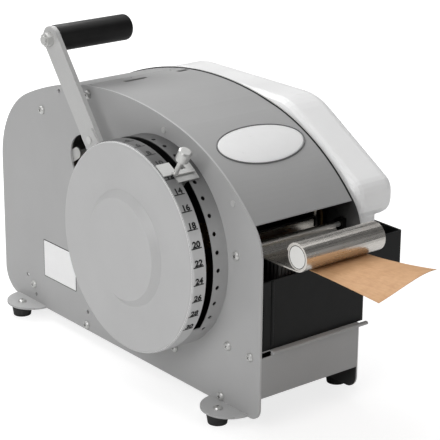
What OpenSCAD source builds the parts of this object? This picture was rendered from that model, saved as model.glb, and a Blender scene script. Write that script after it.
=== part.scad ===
// Counter-top gummed tape dispenser, worked by a pull lever.
// X runs across the machine with the dial on the left (-X), Y runs to the rear, Z is up.
// The lever shaft lies at Y = 0, the rubber feet stand on Z = 0, and X = 0 is the middle of the width.
// Side-view points are [y, z], measured from the lever shaft.

/* [Frame] */
// Height of the lever shaft above the counter
shaft_h = 152; // [145:1:170]
// Front edge of the side plates, from the shaft
plate_front = -153; // [-160:1:-150]
// Rear edge of the side plates, from the shaft
plate_rear = 289; // [270:1:310]
// Bottom edge of the side plates, from the shaft
plate_bottom = -140; // [-145:1:-130]
// Thickness of the side plates
plate_t = 2; // [1.5:0.1:3]
// Clear width between the side plates
plate_gap = 121; // [118:1:140]
// Highest point of the side plates, as [y, z]
plate_top = [70, 132.3]; // [60:1:80]
// Radius of the long arc over the top
top_arc_r = 401; // [380:1:450]
// Radius of the arc that falls to the front
front_arc_r = 229; // [220:1:240]
// Radius of the nose, where the front arc turns into the front edge
nose_r = 49; // [45:1:60]
// Radius of the upper rear corner
rear_corner_r = 91; // [70:1:100]
// Radius of the lower rear corner
rear_foot_r = 27; // [15:1:35]
// Radius of the lower front corner
front_foot_r = 13; // [8:1:20]
// Radius of the half-round foot ears
ear_r = 28; // [22:1:32]
// Places of the foot ears along the machine
ear_y = [-108, 236]; // [-120:1:250]
// Thickness of the folded sheet parts
sheet_t = 1.2; // [1:0.1:2]

/* [Length dial] */
// Radius of the dial drum
dial_r = 105; // [100:1:108]
// Depth of the drum, from its face to the side plate
dial_depth = 43; // [40:1:48]
// Width of the number band
number_band_w = 16.6; // [14:0.1:18]
// Width of the slot that the lever runs in
lever_slot_w = 9; // [8.5:0.1:10]
// Wall of the drum
dial_t = 1.6; // [1.2:0.1:2]
// Lower and upper radius of the raised boss
boss_r = [58, 51]; // [40:1:70]
// Height of the raised boss
boss_h = 6; // [4:1:8]
// Angle between two index holes
index_step = 9.6; // [9.6:0.1:9.6]
// Direction of the lowest index hole
index_start = 217.7; // [217.7:0.1:217.7]
// Number of index holes
index_count = 14; // [12:1:14]
// Radius of an index hole
index_hole_r = 2.2; // [1.8:0.1:2.6]
// Directions of the slot's two ends
slot_ends = [18, 216]; // [10:1:220]

/* [Lever] */
// Centre of the grip, as [y, z]
grip_at = [151.3, 174.4]; // [140:1:180]
// Slope of the lever arm
lever_slope = 52.5; // [50:0.5:54]
// Width of the lever arm
lever_w = 26; // [22:1:28]
// Thickness of the lever arm
lever_t = 4.8; // [4:0.1:5]
// Radius of the grip
grip_r = 13.5; // [11:0.5:15]
// Length of the grip
grip_len = 86; // [75:1:95]
// Diameter of the lever shaft
shaft_d = 14; // [12:1:16]

/* [Length stop] */
// Direction of the stop, at the reading of twelve
stop_dir = 126.5; // [126.5:0.1:126.5]
// Width of the stop along the rim
stop_w = 17; // [14:1:18]

/* [Feed] */
// Gear module
gear_module = 1.25; // [1.25:0.25:1.25]
// Teeth round the full circle of the drive sector
sector_teeth = 120; // [120:2:120]
// Teeth of the large idler gear
idler_teeth = 40; // [36:2:44]
// Teeth of the two pinions
pinion_teeth = 18; // [18:1:20]
// Face width of the gears
gear_w = 5; // [4:0.5:5]
// Radius of the feed roller
feed_r = 20.5; // [19:0.5:21]
// Axis of the feed roller, as [y, z]
feed_at = [-68, -5]; // [-70:1:0]
// Diameter of the feed roller's shaft
feed_shaft_d = 10; // [8:1:12]
// Radius of the pressure roller
pressure_r = 9; // [8:0.5:10]
// Width of the tape
tape_w = 70; // [60:1:76]
// Thickness of the tape
tape_t = 0.2; // [0.15:0.05:0.3]
// Space between the tape and a roller
tape_clear = 0.3; // [0.2:0.05:0.4]
// Outer radius of the part-used tape roll
roll_r = 70; // [60:1:72]
// Inner radius of the cardboard core
core_r = 19; // [15:1:38]
// Centre of the tape roll along the machine
roll_y = 158; // [150:1:165]
// Radius of the two rollers under the tape roll
support_r = 9; // [8:0.5:10]
// Half the distance between those rollers
support_half = 38; // [34:1:42]
// Axis height of those rollers, from the shaft
support_z = -112; // [-115:1:-105]

/* [Knife] */
// Shear plane of the two blades
knife_y = -112.8; // [-113:0.1:-112]
// Diameter of the guide posts
post_d = 5; // [4:0.5:6]

/* [Top weight] */
// Axis of the weight's hinge, as [y, z]
weight_hinge = [-127.5, 26]; // [-130:0.5:30]
// Centre of the round weight, as [y, z]
weight_at = [-185, 32.3]; // [-190:0.5:36]
// Radius of the steel bar
weight_r = 12.6; // [11:0.1:13]
// Length of the bar
weight_len = 97; // [85:1:100]

/* [Water] */
// Front wall of the tank
tank_front = -150; // [-151:0.5:-148]
// Rear wall of the tank
tank_rear = -93; // [-96:0.5:-91]
// Top edge of the tank between the plates
tank_top = -1; // [-5:0.5:0]
// Height of the shelf that the tank stands on
shelf_z = -70; // [-75:1:-60]
// Wall of the tank
tank_wall = 2.4; // [2:0.1:3]
// How far the tank stands out past the right plate
tank_step = 9; // [6:0.5:12]
// Width of the tank's outer well
well_w = 48; // [42:1:52]
// Bottom and top of the outer well
well_z = [-42, 12]; // [-50:1:14]
// Thickness of the bottle
bottle_t = 52; // [44:1:54]
// Front and rear end of the bottle
bottle_ends = [-141, 243]; // [-145:1:245]
// Radius of the bottle's edges
bottle_edge_r = 11; // [6:1:13]
// Centre of the bottle's neck along the machine
neck_y = -120; // [-122:1:-116]
// Radius of the bottle's neck
neck_r = 14; // [12:1:15]

/* [Top cover] */
// Lower front edge of the cover
cover_front_z = 52; // [48:1:58]
// Rear edge of the cover
cover_rear_y = 131; // [126:1:133]
// Axis of the cover's hinge, as [y, z]
cover_hinge = [121, 119.5]; // [115:0.5:125]
// Inset of the cover below the edge of the plates
cover_inset = 0.8; // [0.5:0.1:2]

/* [Fits] */
// Running clearance of a shaft in its hole, on the radius
run = 0.05; // [0.02:0.01:0.1]
// Gap between pieces that pass each other
gap = 0.3; // [0.3:0.05:0.5]

/* [Hidden] */
$fn = 64;
far = 1000;

// Places across the machine
overall_w = dial_depth + 2 * plate_t + plate_gap + tank_step + well_w;
dial_x = -(overall_w - boss_h) / 2;
left_x = dial_x + dial_depth;
left_in = left_x + plate_t;
right_in = left_in + plate_gap;
right_x = right_in + plate_t;
mid_x = (left_in + right_in) / 2;
slot_x = dial_x + number_band_w;

// Centres of the arcs in the outline of the side plates
top_c = [plate_top[0], plate_top[1] - top_arc_r];
front_c_y = 28;
front_c = [front_c_y, top_c[1] + sqrt(pow(top_arc_r - front_arc_r, 2) - pow(top_c[0] - front_c_y, 2))];
nose_c_y = plate_front + nose_r;
nose_c = [nose_c_y, front_c[1] + sqrt(pow(front_arc_r - nose_r, 2) - pow(front_c[0] - nose_c_y, 2))];
rear_c_y = plate_rear - rear_corner_r;
rear_c = [rear_c_y, top_c[1] + sqrt(pow(top_arc_r - rear_corner_r, 2) - pow(top_c[0] - rear_c_y, 2))];
nose_join = dir_of(nose_c - front_c);
front_join = dir_of(front_c - top_c);
rear_join = dir_of(rear_c - top_c);

function dir_of(v) = atan2(v[1], v[0]);
function polar(r, a) = [r * cos(a), r * sin(a)];
function unit(v) = v / norm(v);
function reversed(list) = [for (i = [len(list) - 1:-1:0]) list[i]];
function arc(c, r, a, b, n = 16) = [for (i = [0:n]) c + polar(r, a + (b - a) * i / n)];
// The direction, on an arc about c of radius r, at which its upper side has this y or its left side this z
function dir_at_y(c, r, y) = acos((y - c[0]) / r);
function dir_at_z(c, r, z) = 180 - asin((z - c[1]) / r);

// The outline over the top, d inside the edge: from the cover's front edge back to the point at y
function nose_z(d) = nose_c[1] + (nose_r - d) * sin(nose_join);
function top_front(d, z) = z < nose_z(d) - 1
    ? concat(arc(nose_c, nose_r - d, dir_at_z(nose_c, nose_r - d, z), nose_join, 6),
             arc(front_c, front_arc_r - d, nose_join, front_join, 20))
    : arc(front_c, front_arc_r - d, dir_at_z(front_c, front_arc_r - d, z), front_join, 20);
function top_rear(d, y0, y1) =
    arc(top_c, top_arc_r - d, dir_at_y(top_c, top_arc_r - d, y0), dir_at_y(top_c, top_arc_r - d, y1), 14);
function plate_points() = concat(
    arc(nose_c, nose_r, 180, nose_join, 14),
    arc(front_c, front_arc_r, nose_join, front_join, 24),
    arc(top_c, top_arc_r, front_join, rear_join, 24),
    arc(rear_c, rear_corner_r, rear_join, 0, 20),
    arc([plate_rear - rear_foot_r, plate_bottom + rear_foot_r], rear_foot_r, 0, -90, 12),
    arc([plate_front + front_foot_r, plate_bottom + front_foot_r], front_foot_r, -90, -180, 10));
function sheet_points(outer, inner) = concat(outer, reversed(inner));

// Extrudes a side-view profile along X
module across(x, w) {
    translate([x, 0, shaft_h])
        rotate([90, 0, 90])
            linear_extrude(w)
                children();
}
// A round bar along X, centred on a side-view point
module bar(x, w, at, d) {
    translate([x, at[0], shaft_h + at[1]])
        rotate([0, 90, 0])
            cylinder(h = w, d = d);
}
// A block given by its x, y and z ranges, with z measured from the shaft
module block(xs, ys, zs) {
    translate([xs[0], ys[0], shaft_h + zs[0]])
        cube([xs[1] - xs[0], ys[1] - ys[0], zs[1] - zs[0]]);
}
module rounded_rect(a, b, r) {
    translate([a[0] + r, a[1]])
        square([b[0] - a[0] - 2 * r, b[1] - a[1]]);
    translate([a[0], a[1] + r])
        square([b[0] - a[0], b[1] - a[1] - 2 * r]);
    for (y = [a[0] + r, b[0] - r], z = [a[1] + r, b[1] - r])
        translate([y, z])
            circle(r);
}
// A flat bar with round ends from one side-view point to another
module link_2d(p, q, w) {
    translate(p)
        circle(d = w);
    translate(q)
        circle(d = w);
    translate(p)
        rotate(dir_of(q - p))
            translate([0, -w / 2])
                square([norm(q - p), w]);
}

// ---- Fastener places on the side plates, as [y, z]
screw_at = [[207, 84.5], [231.7, -119.3], [130.9, -134.2], [-22.8, -107.6], [-105.6, -77.6], [-138.3, -77.9],
            [-116.8, 16.8]];
cross_at = [cover_hinge, [-95.7, -133.2]];
rivet_at = [[-111.5, 66.7], [-5.9, 112.2]];
hole_at = [[173.8, 112.2], [244.4, -111.4], [228.3, -130], [128.6, -119]];
screw_d = 5;
rivet_d = 4;
access_at = [130, 50];
access_r = 25;
notch_rear = tank_rear + 5;
notch_top = well_z[1] + 3;
bush_wall = 2.5;
feed_bush_wall = 2;

// ---- Side plates
module plate_profile() {
    difference() {
        polygon(plate_points());
        circle(d = shaft_d + 2 * bush_wall);
        translate(feed_at)
            circle(d = feed_shaft_d + 2 * feed_bush_wall);
        for (p = concat(screw_at, cross_at))
            translate(p)
                circle(d = screw_d);
        for (p = rivet_at)
            translate(p)
                circle(d = rivet_d);
        for (p = hole_at)
            translate(p)
                circle(r = 2.2);
    }
}
module foot_ears(x, side) {
    for (y = ear_y)
        translate([x, y, shaft_h + plate_bottom])
            difference() {
                linear_extrude(plate_t)
                    intersection() {
                        circle(ear_r);
                        translate([side > 0 ? 0 : -ear_r, -ear_r])
                            square([ear_r, 2 * ear_r]);
                    }
                translate([side * ear_r / 2, 0, -1])
                    cylinder(h = plate_t + 2, d = screw_d + 0.2);
            }
}
module left_side_plate() {
    color([0.68, 0.69, 0.69]) {
        across(left_x, plate_t)
            difference() {
                plate_profile();
                translate(access_at)
                    circle(access_r);
                translate(idler_at)
                    circle(d = idler_shaft_d + 2 * feed_bush_wall);
            }
        foot_ears(left_x, -1);
    }
}
module right_side_plate() {
    color([0.68, 0.69, 0.69]) {
        across(right_in, plate_t)
            difference() {
                plate_profile();
                translate([plate_front - 20, shelf_z])
                    square([notch_rear - plate_front + 20, notch_top - shelf_z]);
                for (p = ledge_at)
                    translate(p)
                        circle(d = screw_d);
            }
        foot_ears(right_x, 1);
    }
}

// ---- Shelf and front panel, folded from one sheet
panel_bottom = -116;
lip_out = 3.5;
lip_h = 3.2;
lip_left = left_in + 12;
shelf_rear = -76;
flange_h = 14;
module tank_shelf() {
    color([0.52, 0.53, 0.53]) {
        difference() {
            union() {
                block([left_in, right_in], [plate_front, shelf_rear], [shelf_z - sheet_t, shelf_z]);
                block([left_in, right_in], [plate_front, plate_front + sheet_t], [panel_bottom, shelf_z]);
                for (x = [left_in, right_in - sheet_t])
                    block([x, x + sheet_t], [plate_front, shelf_rear], [shelf_z - flange_h, shelf_z]);
            }
            for (p = [screw_at[4], screw_at[5]])
                bar(left_in - 1, plate_gap + 2, p, screw_d);
            block([left_in - 1, lip_left], [plate_front - 1, plate_front + 3], [shelf_z - 5, shelf_z + 1]);
        }
        across(lip_left, right_x + tank_step - lip_left) {
            translate([plate_front - lip_out + lip_h / 2, shelf_z - lip_h / 2])
                circle(d = lip_h);
            translate([plate_front - lip_out + lip_h / 2, shelf_z - lip_h])
                square([lip_out - lip_h / 2, lip_h]);
        }
    }
}
module floor_pan() {
    color([0.55, 0.56, 0.56])
        difference() {
            union() {
                block([left_in, right_in], [-112, 272], [plate_bottom + 2, plate_bottom + 2 + sheet_t]);
                for (x = [left_in, right_in - sheet_t])
                    block([x, x + sheet_t], [-112, 250], [plate_bottom + 2, plate_bottom + 12]);
                block([left_in, right_in], [272 - sheet_t, 272], [plate_bottom + 2, plate_bottom + 12]);
            }
            for (p = [screw_at[2], cross_at[1]])
                bar(left_in - 1, plate_gap + 2, p, screw_d);
        }
}
// ---- Rear cover: follows the plates from behind the hinged cover down to the rear foot
rear_inset = 1.2;
rear_cover_front = cover_rear_y + 3;
rear_cover_bottom = plate_bottom + 30;
module rear_band(d, t) {
    polygon(sheet_points(
        concat(top_rear(d, rear_cover_front, top_c[0] + (top_arc_r - d) * cos(rear_join)),
               arc(rear_c, rear_corner_r - d, rear_join, 0, 20),
               [[plate_rear - d, rear_cover_bottom]]),
        concat(top_rear(d + t, rear_cover_front, top_c[0] + (top_arc_r - d - t) * cos(rear_join)),
               arc(rear_c, rear_corner_r - d - t, rear_join, 0, 20),
               [[plate_rear - d - t, rear_cover_bottom]])));
}
module rear_cover() {
    color([0.68, 0.69, 0.69])
        difference() {
            union() {
                across(left_in, plate_gap)
                    rear_band(rear_inset, sheet_t);
                for (x = [left_in, right_in - sheet_t])
                    across(x, sheet_t)
                        rear_band(rear_inset, 30);
            }
            bar(left_in - 1, plate_gap + 2, screw_at[0], screw_d);
            for (p = [hole_at[0]])
                bar(left_in - 1, plate_gap + 2, p, 4.4);
            bar(left_in - 1, plate_gap + 2, [244.4, -111.4], 4.4);
        }
}
// ---- Strips under the edges of the hinged cover
strip_w = 9;
module cover_rest_strips() {
    d = cover_inset + sheet_t + gap;
    color([0.5, 0.5, 0.5])
        for (x = [left_in, right_in - strip_w])
            difference() {
                union() {
                    across(x, strip_w)
                        polygon(sheet_points(top_front(d, 66), top_front(d + sheet_t, 66)));
                    across(x < mid_x ? left_in : right_in - sheet_t, sheet_t)
                        polygon(sheet_points(top_front(d, 66), top_front(d + 12, 66)));
                }
                for (p = rivet_at)
                    bar(x - 1, strip_w + 2, p, rivet_d);
            }
}
// ---- Hinged cover
knuckle_r = 5;
hinge_rod_d = 6;
cover_gap = 0.4;
cover_slots = [[36, 64], [104, 118]];
module top_cover() {
    d = cover_inset;
    x0 = left_in + cover_gap;
    w = plate_gap - 2 * cover_gap;
    color([0.66, 0.67, 0.67])
        difference() {
            union() {
                across(x0, w) {
                    polygon(sheet_points(
                        concat(top_front(d, cover_front_z), top_rear(d, 2, cover_rear_y)),
                        concat(top_front(d + sheet_t, cover_front_z), top_rear(d + sheet_t, 2, cover_rear_y))));
                    translate(top_front(d, cover_front_z)[0] + [0.6, 0])
                        square([7, sheet_t]);
                }
                for (x = [x0 + 4, mid_x - 6, x0 + w - 16])
                    across(x, 12)
                        union() {
                            translate(cover_hinge)
                                circle(knuckle_r);
                            translate(cover_hinge + [-knuckle_r, 0])
                                square([2 * knuckle_r, 129 - cover_hinge[1] - 0.8]);
                        }
            }
            bar(x0 - 1, w + 2, cover_hinge, hinge_rod_d + 2 * run);
            for (s = cover_slots)
                block([left_in + s[0], left_in + s[1]], [108, 114.5], [90, 140]);
        }
}

// ---- Dial drum: the cap with its number band, and the ring with the index holes
cap_edge_r = 3.5;
face_z = dial_r - cap_edge_r;
module dial_cap() {
    color([0.74, 0.75, 0.75])
        translate([dial_x, 0, shaft_h])
            rotate([0, 90, 0])
                rotate_extrude()
                    difference() {
                        union() {
                            square([face_z, dial_t]);
                            translate([face_z, cap_edge_r])
                                circle(cap_edge_r);
                            translate([dial_r - dial_t, cap_edge_r])
                                square([dial_t, number_band_w - cap_edge_r]);
                            polygon([[0, -boss_h], [boss_r[1], -boss_h], [boss_r[0], 0], [boss_r[0], dial_t],
                                     [0, dial_t]]);
                        }
                        polygon([[0, dial_t - boss_h], [boss_r[1] - 1, dial_t - boss_h],
                                 [boss_r[0] - 1, dial_t], [boss_r[0] - 1, far], [0, far]]);
                        translate([face_z, cap_edge_r])
                            circle(cap_edge_r - dial_t);
                        translate([boss_r[0] - 2, dial_t])
                            square([dial_r - dial_t - boss_r[0] + 2, far]);
                        translate([-far, -far])
                            square([far, 2 * far]);
                    }
}
module index_ring() {
    ring_w = left_x - slot_x;
    color([0.45, 0.46, 0.46])
        difference() {
            bar(slot_x, ring_w, [0, 0], 2 * dial_r);
            bar(slot_x - 1, ring_w + 2, [0, 0], 2 * (dial_r - dial_t));
            across(slot_x - 1, lever_slot_w + 1)
                polygon(concat([[0, 0]], arc([0, 0], dial_r + 40, slot_ends[0], slot_ends[1], 12)));
            for (i = [0:index_count - 1])
                translate([pin_x, 0, shaft_h])
                    rotate([index_dir(i), 0, 0])
                        translate([0, dial_r - 10, 0])
                            rotate([-90, 0, 0])
                                cylinder(h = 20, r = index_hole_r);
        }
    color([0.45, 0.46, 0.46])
        difference() {
            bar(left_x - dial_t, dial_t, [0, 0], 2 * dial_r - 1);
            bar(left_x - dial_t - 1, dial_t + 2, [0, 0], 2 * (dial_r - 9));
        }
}
function index_dir(i) = index_start - i * index_step;

// ---- Lever shaft and its bushes
shaft_end = right_x + 6;
bush_flange = 1.5;
module bush(x, at, d, wall, flange_side) {
    difference() {
        union() {
            bar(x, plate_t, at, d + 2 * wall);
            bar(flange_side > 0 ? x + plate_t : x - bush_flange, bush_flange, at, d + 2 * wall + 5);
        }
        bar(x - 5, 15, at, d + 2 * run);
    }
}
module bearing_bushes() {
    color([0.75, 0.6, 0.35]) {
        bush(left_x, [0, 0], shaft_d, bush_wall, -1);
        bush(right_in, [0, 0], shaft_d, bush_wall, 1);
        bush(left_x, feed_at, feed_shaft_d, feed_bush_wall, -1);
        bush(right_in, feed_at, feed_shaft_d, feed_bush_wall, 1);
        bush(left_x, idler_at, idler_shaft_d, feed_bush_wall, -1);
    }
}
hub_plate_t = 2;
hub_plate_x = slot_x + 0.7;
arm_x = hub_plate_x + hub_plate_t;
collar_d = 24;
hub_r = 18;
module main_shaft() {
    color("silver")
        difference() {
            union() {
                bar(hub_plate_x - 4, shaft_end - hub_plate_x + 4, [0, 0], shaft_d);
                bar(arm_x, stage1_x - arm_x, [0, 0], collar_d);
                bar(stage1_x + gear_w, left_x - bush_flange - gap - stage1_x - gear_w, [0, 0], collar_d);
                bar(shaft_end - 2.5, 2.5, [0, 0], shaft_d + 4);
            }
            bar(hub_plate_x - 5, 4, [0, 0], 5);
        }
}

// ---- Lever
lever_u = polar(1, lever_slope);
arm_foot = grip_at - 172 * lever_u;
bracket_tip = grip_at - 104 * lever_u;
bolt_d = 8;
lever_rivet_at = [grip_at - 112 * lever_u, grip_at - 160 * lever_u];
module lever_hub_plate() {
    color([0.72, 0.72, 0.71])
        across(hub_plate_x, hub_plate_t)
            difference() {
                polygon(concat(arc([0, 0], hub_r, lever_slope + 90, lever_slope + 270, 24),
                               [bracket_tip + 10.5 * polar(1, lever_slope - 90)],
                               [bracket_tip + 10.5 * polar(1, lever_slope + 90)]));
                circle(d = shaft_d);
                for (p = lever_rivet_at)
                    translate(p)
                        circle(d = rivet_d);
            }
}
module lever_arm() {
    color([0.74, 0.74, 0.73])
        across(arm_x, lever_t)
            difference() {
                link_2d(arm_foot, grip_at, lever_w);
                translate(grip_at)
                    circle(d = bolt_d);
                for (p = lever_rivet_at)
                    translate(p)
                        circle(d = rivet_d);
            }
}
module lever_rivets() {
    color("silver")
        for (p = lever_rivet_at) {
            bar(hub_plate_x, hub_plate_t + lever_t, p, rivet_d);
            bar(hub_plate_x - 0.6, 0.6, p, 8);
            bar(arm_x + lever_t, 1.2, p, 7);
        }
}
module grip_bolt() {
    x1 = arm_x + lever_t + grip_len + 0.6;
    color("silver")
        union() {
            bar(arm_x - 3, x1 - arm_x + 3, grip_at, bolt_d);
            translate([arm_x - 6.5, grip_at[0], shaft_h + grip_at[1]])
                rotate([0, 90, 0])
                    cylinder(h = 6.5, d = 15, $fn = 6);
            bar(arm_x - 9, 3, grip_at, 9);
            bar(x1, 2.4, grip_at, 15);
        }
}
module lever_grip() {
    x = arm_x + lever_t + gap;
    r = grip_r;
    color([0.14, 0.14, 0.14])
        translate([x, grip_at[0], shaft_h + grip_at[1]])
            rotate([0, 90, 0])
                rotate_extrude()
                    difference() {
                        union() {
                            square([r, grip_len - 8]);
                            translate([0, grip_len - 8])
                                square([r - 4, 8]);
                            translate([r - 4, grip_len - 8])
                                intersection() {
                                    circle(4);
                                    square([4, 4]);
                                }
                        }
                        square([bolt_d / 2 + run, far]);
                        translate([0, grip_len - 3.4])
                            square([8.5, far]);
                    }
}

// ---- Length stop: a saddle on the ring, with a lift-up plunger over an index hole
saddle_t = 1.5;
thumb_r = 2.5;
pin_dir = index_dir(10);
pin_x = dial_x + 31;
thumb_x = dial_x + 15;
thumb_u = 5.3;
yoke_t = 2;
// Angle along the rim for a length
function rim_deg(w) = w / dial_r * 180 / PI;
module rim_sector(r0, r1, a0, a1) {
    difference() {
        polygon(concat([[0, 0]], arc([0, 0], r1 * 1.2, a0, a1, 6)));
        circle(r0);
        difference() {
            circle(2 * r1);
            circle(r1);
        }
    }
}
// Moves to the pin's place: z along the pin, y down the rim, x across
module at_pin(x, v) {
    translate([x, 0, shaft_h])
        rotate([pin_dir, 0, 0])
            translate([0, v, 0])
                rotate([-90, 0, 0])
                    children();
}
module stop_carriage() {
    r0 = dial_r + gap;
    r1 = r0 + saddle_t;
    lead = stop_dir - rim_deg(stop_w * 0.22);
    rear = stop_dir + rim_deg(stop_w * 0.37);
    color([0.85, 0.85, 0.83])
        difference() {
            union() {
                // finger plate over the number band
                across(dial_x + 2, slot_x - dial_x - 2)
                    rim_sector(r0, r1, pin_dir - 5, pin_dir + 3);
                // bridge over the slot, behind the lever's side
                across(slot_x - 4, lever_slot_w + 7)
                    rim_sector(r0, r1, lead, rear);
                // clip on the hole band
                across(slot_x + lever_slot_w + 2, left_x - 6 - slot_x - lever_slot_w - 2)
                    rim_sector(r0, r1, pin_dir - 3.7, rear);
                // tongue that fills the slot, which the lever strikes
                across(slot_x + 1, lever_slot_w - 2)
                    rim_sector(dial_r - 9, r1, lead + 0.5, rear - 0.5);
                // keeper inside the ring
                across(slot_x + 1, left_x - 8 - slot_x)
                    rim_sector(dial_r - dial_t - gap - saddle_t, dial_r - dial_t - gap, lead + 0.5, rear - 0.5);
            }
            // hole for the index pin
            at_pin(pin_x, dial_r - 12)
                cylinder(h = 40, r = index_hole_r);
        }
}
module stop_plunger() {
    base = saddle_t + 2 * gap;
    color([0.88, 0.88, 0.86])
        at_pin(0, dial_r)
            union() {
                translate([pin_x, 0, gap])
                    cylinder(h = base + 1, r = index_hole_r - 2 * run);
                // yoke from the pin to the thumb post, clear of the lever
                translate([pin_x - 4, -7, base])
                    cube([8, 10, yoke_t]);
                translate([thumb_x - 4, -thumb_u - 3.5, base])
                    cube([pin_x - thumb_x + 8, 5, yoke_t]);
                translate([thumb_x, -thumb_u, base])
                    cylinder(h = 21, r = thumb_r);
                translate([thumb_x, -thumb_u, 17.5])
                    cylinder(h = 3, r1 = thumb_r, r2 = 5.5);
                translate([thumb_x, -thumb_u, 20.5])
                    cylinder(h = 10, r = 6.5);
                translate([thumb_x, -thumb_u, 30.5])
                    cylinder(h = 1.4, r1 = 6.5, r2 = 4.8);
            }
}

// ---- Gears
function inv(a) = tan(a) * 180 / PI - a;
pressure_angle = 20;
gear_slack = 0.14;
function pitch_r(z) = gear_module * z / 2;
function half_tooth(z, r) = 90 / z - gear_slack / pitch_r(z) * 90 / PI + inv(pressure_angle)
    - inv(acos(min(1, pitch_r(z) * cos(pressure_angle) / r)));
function flank_radii(z) = let (p = pitch_r(z), b = p * cos(pressure_angle), root = p - 1.25 * gear_module,
    tip = p + 0.94 * gear_module, low = max(b, root) + 0.02)
    [root, low, low + (p - low) * 0.5, p, p + (tip - p) * 0.5, tip];
// Points of the teeth numbered k0 to k1, tooth zero lying in direction a
function tooth_points(z, a, k0, k1) = [for (k = [k0:k1], side = [-1, 1], i = [0:5])
    let (r = flank_radii(z)[side < 0 ? i : 5 - i])
    polar(r, a + k * 360 / z + side * half_tooth(z, max(r, pitch_r(z) * cos(pressure_angle) + 0.001)))];
module gear_2d(z, a) {
    polygon(tooth_points(z, a, 0, z - 1));
}
d_first = pitch_r(sector_teeth) + pitch_r(pinion_teeth);
d_second = pitch_r(idler_teeth) + pitch_r(pinion_teeth);
feed_far = norm(feed_at);
along = (pow(d_first, 2) - pow(d_second, 2) + pow(feed_far, 2)) / (2 * feed_far);
aside = sqrt(pow(d_first, 2) - pow(along, 2));
feed_u = unit(feed_at);
idler_at = along * feed_u + aside * [feed_u[1], -feed_u[0]];
sector_dir = dir_of(idler_at);
second_dir = dir_of(feed_at - idler_at);
stage1_x = left_x - 14;
stage2_x = left_in + 1.5;
idler_shaft_d = 8;
sector_fwd = 3;
lever_swing = 68;
crank_r = 30;
crank_dir = 82;
crank_pin_d = 5;
module drive_sector() {
    k0 = -ceil((lever_swing + sector_fwd) / (360 / sector_teeth));
    k1 = ceil(sector_fwd / (360 / sector_teeth));
    color([0.6, 0.6, 0.58])
        across(stage1_x, gear_w)
            difference() {
                union() {
                    polygon(concat([[0, 0]], tooth_points(sector_teeth, sector_dir, k0, k1)));
                    circle(d = 32);
                }
                circle(d = shaft_d);
                rim_sector(26, pitch_r(sector_teeth) - 12, sector_dir - 62, sector_dir - 8);
            }
}
crank_t = 4;
module spring_crank() {
    pin = polar(crank_r, crank_dir);
    color([0.6, 0.6, 0.58]) {
        difference() {
            across(stage2_x, crank_t)
                link_2d([0, 0], pin, 14);
            bar(stage2_x - 1, crank_t + 2, [0, 0], shaft_d);
        }
        difference() {
            bar(stage2_x, crank_t, [0, 0], 26);
            bar(stage2_x - 1, crank_t + 2, [0, 0], shaft_d);
        }
        bar(stage2_x + crank_t, 6, pin, crank_pin_d);
        bar(stage2_x + crank_t + 6, 1, pin, crank_pin_d + 2.5);
    }
}
// The idler's shaft turns in a bush in the left plate, with its pinion in the drum and its gear in the frame
module idler_shaft() {
    color("silver")
        union() {
            bar(stage1_x - 1, stage2_x + gear_w + 1 - stage1_x + 1, idler_at, idler_shaft_d);
            bar(stage1_x + gear_w, left_x - bush_flange - gap - stage1_x - gear_w, idler_at, idler_shaft_d + 4);
            bar(left_in + gap, stage2_x - left_in - gap, idler_at, idler_shaft_d + 4);
        }
}
module idler_pinion() {
    color([0.72, 0.62, 0.4])
        translate([0, idler_at[0], idler_at[1]])
            across(stage1_x, gear_w)
                difference() {
                    gear_2d(pinion_teeth, sector_dir + 180 + 180 / pinion_teeth);
                    circle(d = idler_shaft_d);
                }
}
module idler_gear() {
    color([0.72, 0.62, 0.4])
        translate([0, idler_at[0], idler_at[1]])
            across(stage2_x, gear_w)
                difference() {
                    gear_2d(idler_teeth, second_dir);
                    circle(d = idler_shaft_d);
                    for (k = [0:4])
                        rotate(72 * k)
                            translate([14.5, 0])
                                circle(4.5);
                }
}
module feed_pinion() {
    color([0.6, 0.6, 0.58])
        translate([0, feed_at[0], feed_at[1]])
            across(stage2_x, gear_w)
                difference() {
                    gear_2d(pinion_teeth, second_dir + 180 + 180 / pinion_teeth);
                    circle(d = feed_shaft_d);
                }
}
module feed_shaft() {
    color("silver")
        union() {
            bar(left_x - 4, right_x + 4 - left_x + 4, feed_at, feed_shaft_d);
            bar(right_x + 2.2, 1.2, feed_at, feed_shaft_d + 5);
            bar(left_x - 3, 1.2, feed_at, feed_shaft_d + 5);
        }
}
roller_half = tape_w / 2 + 2;
knurl_count = 48;
module feed_roller() {
    color([0.42, 0.42, 0.42])
        across(mid_x - roller_half, 2 * roller_half)
            difference() {
                translate(feed_at)
                    circle(feed_r);
                translate(feed_at)
                    circle(d = feed_shaft_d);
                for (i = [0:knurl_count - 1])
                    translate(feed_at)
                        rotate(i * 360 / knurl_count)
                            translate([feed_r, 0])
                                rotate(45)
                                    square(0.8, center = true);
            }
}

// ---- Pressure roller on its swinging arm
tape_z = feed_at[1] + feed_r + tape_clear + tape_t / 2;
pressure_at = [feed_at[0], tape_z + tape_t / 2 + tape_clear + pressure_r];
pressure_pivot = [feed_at[0] + 30, pressure_at[1] + 14];
pivot_rod_d = 7;
pressure_axle_d = 6;
arm_t = 2.5;
module pressure_arm() {
    x0 = mid_x - roller_half - 1 - arm_t;
    x1 = mid_x + roller_half + 1;
    color([0.55, 0.55, 0.53])
        difference() {
            union() {
                for (x = [x0, x1])
                    across(x, arm_t)
                        link_2d(pressure_pivot, pressure_at, 12);
                across(x0, x1 + arm_t - x0)
                    translate(pressure_pivot)
                        circle(d = 12);
                across(x0, x1 + arm_t - x0)
                    translate((pressure_pivot + pressure_at) / 2 + [1, 5])
                        rotate(dir_of(pressure_pivot - pressure_at))
                            square([14, 2], center = true);
            }
            bar(x0 - 1, x1 - x0 + 10, pressure_pivot, pivot_rod_d + 2 * run);
            for (x = [x0 - 1, x1 - 1])
                bar(x, arm_t + 2, pressure_at, pressure_axle_d + 2 * run);
        }
}
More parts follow.
